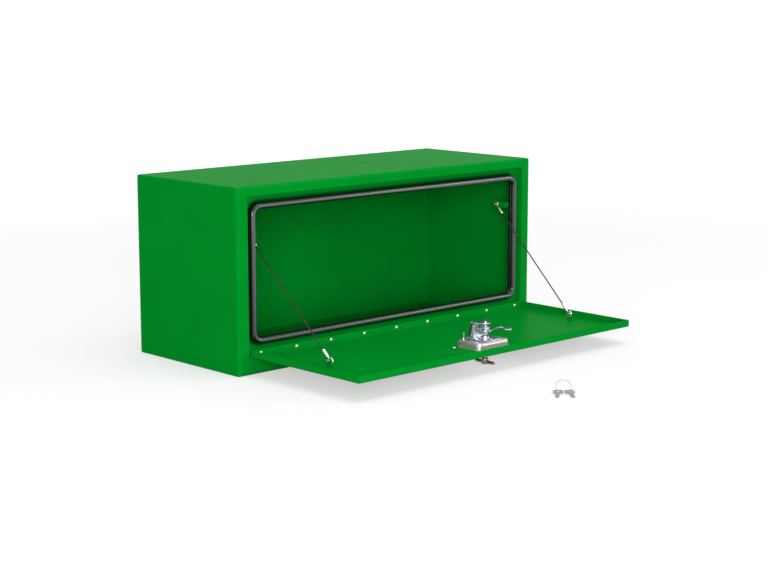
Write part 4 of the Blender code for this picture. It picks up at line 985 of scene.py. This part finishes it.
class TOOLBOX_OT_spindle(Operator):
    """Turns the spindle, its bush, its nut and its pin, and presses the cam"""

    bl_idname = "toolbox.spindle"
    bl_label = "Spindle and cam"

    def execute(self, context):
        sizes = props("latch_sizes")
        self.bush()
        self.spindle(sizes)
        self.cam(sizes)
        low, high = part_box("cam_nut")
        nut = hex_nut("hex_cam_nut", (high.y - low.y) / 2, THREAD_HOLE, high.z - low.z, on_spindle(low.z), UP)
        dress(nut, "zinc", "spindle", "cam_nut")
        low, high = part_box("tee_pin")
        radius = (high.z - low.z) / 2
        ends = ((SPINDLE.x, low.y, FOLD.z), (SPINDLE.x, high.y, FOLD.z))
        pin = soften(add_rod("tee_pin_rod", radius, *ends), radius * 0.25, 3)
        dress(pin, "nickel", "spindle", "tee_pin")
        return {"FINISHED"}

    def bush(self):
        """The neck that stands in the dish's hole, and its flange."""
        low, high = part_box("spindle_bush")
        bore, neck, outer = SPINDLE_HOLE, 0.0095, (high.x - low.x) / 2
        height, flange = high.z - low.z, 0.0025
        profile = [(bore, height - EDGE), (bore + EDGE, height), (neck - EDGE, height), (neck, height - EDGE)]
        profile += [(neck, flange + 2 * EDGE), (neck + EDGE, flange), (outer - EDGE, flange)]
        profile += [(outer, flange - EDGE), (outer, EDGE), (outer - EDGE, 0), (bore, 0), profile[0]]
        bush = turned_on_spindle("flanged_bush", profile, low.z)
        dress(bush, "zinc", "door", "spindle_bush")

    def spindle(self, sizes):
        """From the nose down: thread, collar under the cam, shaft, head, and the two cheeks for the pin."""
        nose, thread, root, collar, shaft, head = 0.004, 0.005, 0.0044, 0.008, 0.006, 0.009
        nose_height, head_height, pitch, relief = 0.005, 0.0038, 0.0012, 0.0001
        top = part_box("tee_spindle")[1].z
        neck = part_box("latch_bracket")[1].z - nose_height
        thread_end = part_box("cam_nut")[0].z
        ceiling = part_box("latch_dish")[1].z - sizes.dish_sheet - CLEARANCE
        base = ceiling - head_height
        cam_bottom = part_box("latch_cam")[1].z - sizes.cam_sheet - CLEARANCE
        bush_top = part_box("spindle_bush")[1].z + CLEARANCE
        profile = [
            (0, top),
            (nose - EDGE, top),
            (nose, top - EDGE),
            (nose, neck),
            *threaded(thread, root, neck, thread_end - relief, pitch),
            (thread, thread_end - relief * 2),
            (thread, cam_bottom),
            (collar - EDGE, cam_bottom),
            (collar, cam_bottom - EDGE),
            (collar, bush_top + EDGE),
            (collar - EDGE, bush_top),
            (shaft, bush_top),
            (shaft, ceiling),
            (head - EDGE, ceiling),
            (head, ceiling - EDGE),
            (head, base + EDGE),
            (head - EDGE, base),
            (0, base),
        ]
        spindle = turned_on_spindle("turned_spindle", [(radius, z - base) for radius, z in profile], base)
        half, cheek_inner, cheek_outer, sunk = 0.005, 0.0038, 0.0073, 0.001
        for side in (-1, 1):
            inner, outer = sorted((side * cheek_inner, side * cheek_outer))
            low = (SPINDLE.x - half, SPINDLE.y + inner, FOLD.z)
            cheek = add_block("cheek", low, (SPINDLE.x + half, SPINDLE.y + outer, base + sunk))
            combine(cheek, add_rod("cheek_end", half, on_fold(inner), on_fold(outer)))
            combine(spindle, cheek)
        drill(spindle, TEE_PIN_HOLE, on_fold(-0.012), on_fold(0.012))
        dress(spindle, "zinc", "spindle", "tee_spindle")

    def cam(self, sizes):
        """A strip of stations along the arm, cranked by its bends, drawn out to a spear."""
        low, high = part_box("latch_cam")
        sheet, fold, broken = sizes.cam_sheet, 0.004, 0.0004
        reach = high.x - SPINDLE.x
        hub = (high.y - low.y) / 2
        rise = high.z - low.z - sheet
        waist = hub * 0.25
        crank = (reach * 0.568, reach * 0.704)
        angles = [math.pi * i / 20 for i in range(1, 16)]
        stations = [(-hub * math.cos(angle), hub * math.sin(angle), rise) for angle in angles]
        stations += [(reach * 0.40, waist * 1.15, rise), (crank[0], waist, rise), (crank[1], waist, 0)]
        stations += [(reach * 0.74, waist * 1.3, 0)]
        spear = ((0.83, 0.69), (0.93, 0.33), (0.985, 0.1), (1, 0.03))
        stations += [(reach * along, hub * half, 0) for along, half in spear]
        middle = low.z + sheet / 2
        points = []
        for side in (-1, 1):
            points += [(SPINDLE.x + x, SPINDLE.y + side * half, middle + up) for x, half, up in stations]
        count = len(stations)
        faces = [(i, i + 1, count + i + 1, count + i) for i in range(count - 1)]
        cam = add_mesh("pressed_cam", points, [], faces)

        def on_crank(edge):
            return any(all(abs(v.co.x - SPINDLE.x - at) < WELD for v in edge.verts) for at in crank)

        weigh(cam, on_crank)
        bend(cam, fold, 6)
        thicken(merge(cam), sheet, 0.0)
        drill(cam, THREAD_HOLE, on_spindle(high.z - 2 * sheet), on_spindle(high.z + sheet))
        soften(cam, broken, 2, 50.0)
        dress(cam, "zinc", "spindle", "latch_cam")


class TOOLBOX_OT_tee(Operator):
    """Casts the tee handle and turns its lock"""

    bl_idname = "toolbox.tee"
    bl_label = "Tee handle"

    def execute(self, context):
        self.handle(props("latch_sizes"))
        self.lock()
        return {"FINISHED"}

    def handle(self, sizes):
        """Boss, stem, bar and tongue run together as in one casting, then bored for the pin and the lock."""
        low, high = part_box("tee_handle")
        boss, bar_height, lock_depth = (high.x - low.x) / 2, 0.005, 0.0096
        half = (high.y - low.y) / 2
        tongue_low = FOLD.z - 0.007
        stem, bar_radius = sizes.stem_radius, sizes.bar_radius
        profile = [(0, tongue_low - low.z), (stem * 0.9, tongue_low - low.z), (stem * 0.94, 0.022)]
        profile += [(stem * 1.15, 0.0155), (boss * 0.97, 0.0125), (boss, 0.010), (boss, 0.0008)]
        profile += [(boss - 0.0008, 0), (0, 0)]
        tee = turned_on_spindle("cast_tee", profile, low.z)
        end = bar_radius * 0.8
        half_bar = [(end * y, half - end + end * x) for x, y in arc(1, 0, 1, 8)]
        half_bar += [(bar_radius * 0.9, half * 0.55), (bar_radius, half * 0.2)]
        bar = half_bar + [(radius, -along) for radius, along in reversed(half_bar)]
        combine(tee, turned("tee_bar", bar, on_spindle(low.z + bar_height), (0, 1, 0)))
        wide, thick = 0.0045, 0.0035
        start = (SPINDLE.x - wide, SPINDLE.y - thick, tongue_low - 0.003)
        tongue = add_block("tee_tongue", start, (SPINDLE.x + wide, SPINDLE.y + thick, FOLD.z))
        combine(tongue, add_rod("tongue_end", wide, on_fold(-thick), on_fold(thick)))
        combine(tee, tongue)
        modify(tee, "REMESH", mode="VOXEL", voxel_size=0.00045)
        modify(tee, "SMOOTH", factor=0.5, iterations=8)
        drill(tee, TEE_PIN_HOLE, on_fold(-0.006), on_fold(0.006))
        drill(tee, LOCK_HOLE, on_spindle(low.z - 0.003), on_spindle(low.z + lock_depth))
        dress(tee, "dark_chrome", "tee", "tee_handle", sharp=50.0)

    def lock(self):
        """The plug, sunk a little in its face, and its keyway with a ward."""
        low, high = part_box("lock_plug")
        radius, long = (high.x - low.x) / 2, high.z - low.z
        edge, sunk = 0.0005, 0.0003
        profile = [(0, long), (radius, long), (radius, edge), (radius - edge, 0), (radius * 0.72, 0)]
        profile += [(radius * 0.68, sunk), (0, sunk)]
        plug = turned_on_spindle("lock_cylinder", profile, low.z, 48)
        slot, ward = ((-0.0006, -0.0033), (0.0006, 0.0033)), ((-0.0006, -0.0012), (0.0014, -0.0002))
        keyway = []
        for near, far in (slot, ward):
            start = SPINDLE.xy + Vector(near)
            end = SPINDLE.xy + Vector(far)
            keyway.append(add_block("keyway", (*start, low.z - 0.002), (*end, low.z + 0.005)))
        cut(plug, combine(*keyway))
        dress(plug, "nickel", "lock", "lock_plug")


# Lanyards


class TOOLBOX_OT_lanyards(Operator):
    """Lays the wire ropes and swages their eyelets, with their tabs, screws and nuts"""

    bl_idname = "toolbox.lanyards"
    bl_label = "Lanyards"

    def execute(self, context):
        sizes = props("lanyard_sizes")
        for side_name, side in SIDES.items():
            cabinet_eye, door_eye = (self.eye(f"{place}_{side_name}", side) for place in ("cabinet", "door"))
            along = (door_eye - cabinet_eye).normalized()
            self.rope(sizes, side_name, cabinet_eye + along * ROPE_FROM_EYE, door_eye - along * ROPE_FROM_EYE)
            for place, eye, way, body in (
                ("cabinet", cabinet_eye, along, "box"),
                ("door", door_eye, -along, "door"),
            ):
                label = f"{place}_{side_name}"
                self.eyelet(sizes, label, eye, way, side, body)
                self.screw(label, eye, side, body)
                self.tab(label, eye, side, body)
        return {"FINISHED"}

    def eye(self, label, side):
        """The middle of an eye, which lies against the cap of its screw."""
        low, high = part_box(f"lanyard_screw_{label}")
        middle = (low + high) / 2
        cap_end = high.x if side < 0 else low.x
        return Vector((cap_end + side * (SCREW_CAP + CLEARANCE + EYE_HALF), middle.y, middle.z))

    def rope(self, sizes, side_name, start, end):
        """A core and the strands that are laid round it, as one mesh."""
        name = f"wire_rope_{side_name}"
        whole = (end - start).length
        strand = sizes.diameter / 6
        shape = {"dimensions": "3D", "bevel_resolution": 1, "use_fill_caps": True}
        radius = sizes.diameter / 2 - strand
        steps = int(whole / sizes.strand_pitch * 14)
        strands = []
        for index in range(sizes.strands):
            line = []
            for i in range(steps + 1):
                z = whole * i / steps
                angle = 2 * math.pi * (index / sizes.strands + z / sizes.strand_pitch)
                line.append((radius * math.cos(angle), radius * math.sin(angle), z))
            strands.append(add_curve(name, [line], bevel_depth=strand * 1.06, **shape))
        core = [(0, 0, 0), (0, 0, whole / 2), (0, 0, whole)]
        strands.append(add_curve(name, [core], bevel_depth=strand * 1.25, **shape))
        bpy.ops.object.select_all(action="DESELECT")
        for piece in strands:
            piece.select_set(True)
        bpy.context.view_layer.objects.active = strands[0]
        bpy.ops.object.join()
        rope = merge(put(bpy.context.object, standing(start, end - start)))
        rope.name = rope.data.name = name
        only(rope)
        bpy.ops.object.shade_smooth()
        rope.data.materials.clear()
        rope.data.materials.append(bpy.data.materials["wire_rope"])
        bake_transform(rope)
        tuple(start)
        tuple(end)
        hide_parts(f"lanyard_cable_{side_name}")
        tuple(start)
        [tuple(start.lerp(end, i / 32)) for i in range(33)]

    def eyelet(self, sizes, label, eye, way, side, body):
        """A stamped eye and the sleeve that is swaged on the rope, run together as in one forging."""
        across = Vector((side, 0, 0))
        across = (across - way * across.dot(way)).normalized()
        outer, bore, half, edge = 0.0075, 0.0029, EYE_HALF, 0.0005
        ring = [(bore, half - edge), (bore + edge, half), (outer - edge, half), (outer, half - edge)]
        ring += [(radius, -depth) for radius, depth in reversed(ring)]
        eyelet = turned(f"swaged_eyelet_{label}", [*ring, ring[0]], eye, across)
        wide = sizes.ferrule
        narrow = wide * 0.9
        sleeve = [(0, 0.031), (0.0019, 0.031), (wide * 0.8, 0.0302), (wide, 0.0288), (wide, 0.0262)]
        sleeve += [(narrow, 0.0258), (narrow, 0.0225), (wide, 0.0221), (wide, 0.0195)]
        sleeve += [(narrow, 0.0191), (narrow, 0.0162), (wide, 0.0158), (wide * 0.98, 0.0142)]
        sleeve += [(0.0013, 0.0115), (0.0013, 0.0062), (0, 0.0062)]
        combine(eyelet, turned("sleeve", sleeve, eye, way, 40))
        dress(eyelet, "aluminium", body, f"lanyard_end_{label}")

    def screw(self, label, eye, side, body):
        """A domed screw on a black washer, which stands in for the shadow round its cap, and whose threads
        take the nut behind the tab.
        """
        node = f"lanyard_screw_{label}"
        low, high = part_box(node)
        across = Vector((-side, 0, 0))
        rim, shank, seat, socket = (high.z - low.z) / 2, 0.0024, 0.0009, 0.0012
        head, slack = rim * 0.7, seat / 3
        whole = high.x - low.x
        start = Vector((high.x if side > 0 else low.x, eye.y, eye.z))
        under = whole - SCREW_CAP
        washer = [(shank, under + seat), (rim - slack, under + seat), (rim, under + seat * 0.66)]
        washer += [(rim, under + slack), (rim - slack, under), (shank, under), (shank, under + seat)]
        # Painted shade: a black washer stands in for the shadow round the screw's cap
        dress(turned(f"nylon_washer_{label}", washer, start, across, 40), "shade_ring", body, node)
        under += seat
        dome = whole - under
        thread = shank - CLEARANCE
        profile = [(head * x, under + dome * 0.12 + dome * 0.86 * y) for x, y in arc(1, 1, 0, 10)]
        profile += [(head * 0.97, under), (thread, under)]
        profile += threaded(thread, shank * 0.78, under - 0.004, 0.0004, 0.0008)
        profile += [(shank * 0.7, 0), (0, 0)]
        screw = turned(f"button_screw_{label}", profile, start, across, 40)
        drill(screw, socket, start + across * (whole - dome * 0.5), start + across * (whole + dome), 6)
        dress(screw, "nickel", body, node)
        node = f"lanyard_nut_{label}"
        low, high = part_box(node)
        start = Vector((low.x if side > 0 else high.x, eye.y, eye.z))
        radius = (high.z - low.z) / 2
        nut = hex_nut(f"hex_nut_{label}", radius, SCREW_HOLE, high.x - low.x, start, (side, 0, 0))
        dress(nut, "zinc", body, node)

    def tab(self, label, eye, side, body):
        """An angle of sheet with a rounded ear, bent at its root."""
        node = f"lanyard_tab_{label}"
        low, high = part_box(node)
        sheet = props("cabinet_sizes").sheet
        if body == "box":
            radius, root = (high.z - low.z) / 2, low.y
            ear = [(root, eye.z - radius), *self.round_eye(eye, radius, -1, 1), (root, eye.z + radius)]
            foot_low, foot_high = (low.x, root, eye.z - radius), (high.x, root + sheet, eye.z + radius)
        else:
            radius, root = (high.y - low.y) / 2, low.z
            ear = [(eye.y - radius, root), (eye.y + radius, root), *self.round_eye(eye, radius, 0, 2)]
            foot_low, foot_high = (low.x, eye.y - radius, root), (high.x, eye.y + radius, root + sheet)
        hole = self.round_eye(eye, SCREW_HOLE, 0, 4, 24)[:-1]
        middle = (low.x if side > 0 else high.x) + side * sheet / 2
        place = Matrix(((0, 0, 1, middle), (1, 0, 0, 0), (0, 1, 0, 0), (0, 0, 0, 1)))
        tab = add_plate(f"angle_{label}", [ear, hole], sheet, place, 0.0002)
        combine(tab, soften(add_block("foot", foot_low, foot_high), 0.0002))
        dress(tab, "powder_coat", body, node)

    def round_eye(self, eye, radius, start, end, steps=16):
        """Points on an arc round an eye, seen from the side."""
        return [(eye.y + x, eye.z + y) for x, y in arc(radius, start, end, steps)]


# Keys


class TOOLBOX_OT_keys(Operator):
    """Cuts the two keys and winds their ring"""

    bl_idname = "toolbox.keys"
    bl_label = "Keys"

    def execute(self, context):
        """The ring leans back on the keys' bows, and the keys dip from it to their tips on the ground."""
        sizes = props("key_sizes")
        low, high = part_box("key_ring")
        middle = (low + high) / 2
        base = Matrix.Translation((middle.x, middle.y, 0)) @ Matrix.Rotation(sizes.heading, 4, "Z")
        lift = sizes.ring_radius * math.sin(sizes.tilt)
        centre = Vector((0, 0, sizes.wire / 2 + CLEARANCE + lift))
        slide = math.asin((sizes.hole_height - centre.z) / lift)
        hung_x = sizes.ring_radius * math.cos(slide)
        hung_y = sizes.ring_radius * math.cos(sizes.tilt) * math.sin(slide)
        reach = sizes.head_length - sizes.hole_back + sizes.blade_length
        dip = math.asin((sizes.hole_height - sizes.thickness / 2 - CLEARANCE) / reach)
        keys = (("key_left", -1, sizes.left_turn), ("key_right", 1, sizes.right_turn))
        for node, side, turn_on_ring in keys:
            at = Matrix.Translation((side * hung_x, hung_y, sizes.hole_height))
            heading = Matrix.Rotation(turn_on_ring - QUARTER, 4, "Z")
            self.key(sizes, node, base @ at @ heading @ Matrix.Rotation(dip, 4, "Y"))
        self.ring(sizes, base @ Matrix.Translation(centre) @ Matrix.Rotation(sizes.tilt, 4, "X"))
        return {"FINISHED"}

    def outline(self, sizes, front, tip):
        """Round the blank, the bow's hole at the origin: bow, plain side, point, and the side that is cut."""
        back, half, chamfer = -sizes.hole_back, sizes.head_half, sizes.chamfer
        bow = [(front - chamfer, half), (back + chamfer, half), (back, half - chamfer)]
        bow += [(x, -y) for x, y in reversed(bow)]
        blade = sizes.blade_half
        point = [(tip - blade, -blade), (tip - blade * 0.3, -blade * 0.5), (tip, 0)]
        point += [(tip - blade * 0.3, blade * 0.5), (tip - blade, blade)]
        margin = blade * 1.5
        depths = (0.5, 1.0, 0.3, 0.8, 0.45)
        pitch = (sizes.blade_length - 2 * margin) / len(depths)
        x = tip - margin
        cuts = []
        for share in depths:
            depth = blade - sizes.cut_depth * share
            cuts += [(x, blade), (x - pitch * 0.3, depth), (x - pitch * 0.6, depth)]
            x -= pitch
        return [*bow, (front, -blade), *point, *cuts, (x, blade), (front, blade)]

    def key(self, sizes, node, place):
        """A blank with milled grooves and cuts, a sunk face on its bow, and a notch at each shoulder."""
        thickness, radius = sizes.thickness, sizes.hole_radius
        front = sizes.head_length - sizes.hole_back
        tip = front + sizes.blade_length
        reach = radius + sizes.hole_half
        hole = rounded((-radius, -reach), (radius, reach), radius * 0.999, 10)
        outlines = [self.outline(sizes, front, tip), hole]
        key = add_plate(f"cut_{node}", outlines, thickness, Matrix.Identity(4), 0.0002)
        groove, sunk, rim, notch = 0.0005, 0.0003, 0.0022, 0.0012
        panel = rounded((radius + rim, rim - sizes.head_half), (front - rim, sizes.head_half - rim), rim, 6)
        for face in (-1, 1):
            z = sorted((face * (thickness / 2 - groove), face * thickness))
            y = sorted((face * 0.0004, face * 0.0019))
            cut(key, add_block("groove", (front + 0.0012, y[0], z[0]), (tip + sizes.blade_half, y[1], z[1])))
            sheet = Matrix.Translation((0, 0, face * (thickness - sunk)))
            cut(key, add_plate("sunk_panel", [panel], thickness, sheet))
            at = (front - 0.0002, face * (sizes.blade_half + 0.0017))
            drill(key, notch, (*at, -thickness), (*at, thickness), 24)
        dress(put(key, place), "nickel_silver", "keys", node)

    def ring(self, sizes, place):
        """Two turns of wire, which climbs from one to the other in a short step."""
        count, step = 128, 0.4
        line = []
        for i in range(count + 1):
            angle = (4 * math.pi - step) * i / count
            share = min(1, max(0, (angle - 2 * math.pi + step) / step))
            climb = share * share * (3 - 2 * share) - 0.5
            flat = (sizes.ring_radius * math.cos(angle), sizes.ring_radius * math.sin(angle))
            line.append((*flat, climb * sizes.wire / 2 * 1.02))
        shape = {"dimensions": "3D", "bevel_resolution": 3, "use_fill_caps": True}
        ring = add_curve("split_ring", [line], bevel_depth=sizes.wire / 4, **shape)
        dress(merge(put(ring, place)), "nickel_silver", "keys", "key_ring", sharp=50.0)


# Stage


class TOOLBOX_OT_finishes(Operator):
    """Makes the materials of every finish"""

    bl_idname = "toolbox.finishes"
    bl_label = "Finishes"

    def execute(self, context):
        finishes = props("finishes")
        # Sprayed and baked powder: an even deep green, with shade painted on it beside the seal
        powder_coat("powder_coat", linear(finishes.paint))
        powder_coat("powder_coat_painted_shade", linear(finishes.paint), seal_shade=True)
        # Extruded rubber: dull black, with a highlight painted as a grey line along its front
        rubber("rubber", linear(finishes.rubber), linear(finishes.painted_highlight))
        # Deep-drawn stainless steel: warm and satin, with faint lines from front to back
        plated("stainless", linear(finishes.stainless), 0.42, 700.0, 0.08, (1, 0.04, 1))
        # Bright zinc plate: cold and shiny, with cloudy patches
        plated("zinc", linear(finishes.zinc), 0.24, 500.0, spot=0.48)
        # Dark chrome on a casting: smooth, brownish and shiny
        plated("dark_chrome", linear(finishes.dark_chrome), 0.24, 300.0, 0.05)
        # Nickel plate and milled nickel silver: satin, streaked upwards
        plated("nickel", linear(finishes.nickel), 0.3, 600.0, stretch=(1, 1, 0.1))
        plated("nickel_silver", linear(finishes.nickel_silver), 0.34, 600.0, stretch=(1, 1, 0.1))
        # Aluminium, headed and swaged cold: pale and matt
        plated("aluminium", linear(finishes.aluminium), 0.45, 500.0)
        # Oiled steel wire: dark, with a strong grain that breaks up its shine
        plated("wire_rope", linear(finishes.rope), 0.42, 1500.0, 0.3)
        # Painted shade: black and waxy, for the washers that stand in for the shadow round the screws' caps
        rubber("shade_ring", linear(finishes.shade_ring))
        return {"FINISHED"}


class TOOLBOX_OT_stage(Operator):
    """Sets the floor, the lights and the camera"""

    bl_idname = "toolbox.stage"
    bl_label = "Stage"

    def execute(self, context):
        sizes = props("stage_sizes")
        context.scene.view_settings.view_transform = "Standard"
        self.camera(context.scene, sizes)
        self.floor(sizes)
        self.world(context.scene)
        self.lamp("front_light", (-3.8, -4.6, 1.15), 2.6, 238.0)
        self.lamp("fill_light", (4.2, -3.6, 1.7), 1.6, 46.0)
        self.lamp("top_light", (0.3, -1.4, 5.0), 4.0, 92.0)
        self.lamp("back_light", (1.6, 5.6, 0.7), 1.2, 110.0)
        return {"FINISHED"}

    def aim(self, obj, place, ahead):
        """Sets a camera or a lamp at a place, looking along a direction."""
        obj.location = place
        obj.rotation_mode = "QUATERNION"
        obj.rotation_quaternion = ahead.to_track_quat("-Z", "Y")

    def camera(self, scene, sizes):
        data = bpy.data.cameras.new("camera")
        data.lens = sizes.lens
        data.sensor_width = 36
        scene.camera = link("camera", data)
        a, e = sizes.camera_azimuth, sizes.camera_elevation
        ahead = Vector((-math.sin(a) * math.cos(e), math.cos(a) * math.cos(e), -math.sin(e)))
        self.aim(scene.camera, sizes.camera_place, ahead)

    def floor(self, sizes):
        """White paper that glows to the camera and in reflections, a little less near the object."""
        bpy.ops.object.select_all(action="DESELECT")
        bpy.ops.mesh.primitive_plane_add(size=sizes.floor, location=(0, 0, 0))
        floor = bpy.context.object
        floor.name = "studio_floor"
        tree, place = new_finish("floor_paper")
        paper = add_node(tree, "BsdfDiffuse", {"Color": linear(props("finishes").floor)})
        rays = add_node(tree, "LightPath").outputs
        seen = add_node(tree, "Math", {0: rays["Is Camera Ray"], 1: rays["Is Glossy Ray"]}, operation="ADD")
        away = add_node(tree, "VectorMath", {0: place}, operation="LENGTH").outputs["Value"]
        fade = {"Value": away, "From Min": 1.4, "From Max": 6.0, "To Min": 0.52, "To Max": 0.85}
        fade = add_node(tree, "MapRange", fade, interpolation_type="SMOOTHSTEP")
        glow = add_node(tree, "Math", {0: seen, 1: fade}, operation="MULTIPLY")
        glow = add_node(tree, "Emission", {"Strength": glow})
        both = add_node(tree, "AddShader", {0: paper, 1: glow})
        add_node(tree, "OutputMaterial", {"Surface": both})
        floor.data.materials.append(bpy.data.materials["floor_paper"])

    def world(self, scene):
        """White to the camera, in reflections and through glass, and dimmer as a light."""
        scene.world = bpy.data.worlds.new("studio")
        scene.world.use_nodes = True
        tree = scene.world.node_tree
        tree.nodes.clear()
        rays = add_node(tree, "LightPath").outputs
        seen = rays["Is Camera Ray"]
        for ray in ("Is Glossy Ray", "Is Transmission Ray"):
            seen = add_node(tree, "Math", {0: seen, 1: rays[ray]}, operation="MAXIMUM")
        strength = add_node(tree, "MapRange", {"Value": seen, "To Min": 0.58, "To Max": 1.0})
        background = add_node(tree, "Background", {"Color": (1, 1, 1, 1), "Strength": strength})
        add_node(tree, "OutputWorld", {"Surface": background})

    def lamp(self, name, place, size, power):
        """A round lamp that points at the middle of the object."""
        data = bpy.data.lights.new(name, "AREA")
        data.shape = "DISK"
        data.size = size
        data.energy = power
        self.aim(link(name, data), place, Vector((0, -0.2, 0.15)) - Vector(place))


class TOOLBOX_PT_pieces(Panel):
    """Lists the steps that model the tool box"""

    bl_label = "Truck tool box"
    bl_idname = "TOOLBOX_PT_pieces"
    bl_space_type = "VIEW_3D"
    bl_region_type = "UI"
    bl_category = "Tool box"

    def draw(self, context):
        for operator in STEPS:
            self.layout.operator(operator.bl_idname)


STEPS = (
    TOOLBOX_OT_stage,
    TOOLBOX_OT_finishes,
    TOOLBOX_OT_lanyards,
    TOOLBOX_OT_cabinet,
    TOOLBOX_OT_mouth,
    TOOLBOX_OT_hinge,
    TOOLBOX_OT_door,
    TOOLBOX_OT_rivets,
    TOOLBOX_OT_dish,
    TOOLBOX_OT_bracket,
    TOOLBOX_OT_spindle,
    TOOLBOX_OT_tee,
    TOOLBOX_OT_keys,
)
GROUPS = {
    "cabinet_sizes": CabinetSizes,
    "seal_sizes": SealSizes,
    "hinge_sizes": HingeSizes,
    "latch_sizes": LatchSizes,
    "lanyard_sizes": LanyardSizes,
    "key_sizes": KeySizes,
    "finishes": Finishes,
    "stage_sizes": StageSizes,
}


def register():
    for item in (*GROUPS.values(), *STEPS, TOOLBOX_PT_pieces):
        bpy.utils.register_class(item)
    for name, group in GROUPS.items():
        setattr(bpy.types.Scene, name, PointerProperty(type=group))


def unregister():
    for name in GROUPS:
        delattr(bpy.types.Scene, name)
    for item in reversed((*GROUPS.values(), *STEPS, TOOLBOX_PT_pieces)):
        bpy.utils.unregister_class(item)


def main():
    register()
    for step in STEPS:
        group, name = step.bl_idname.split(".")
        getattr(getattr(bpy.ops, group), name)()


if __name__ == "__main__":
    main()
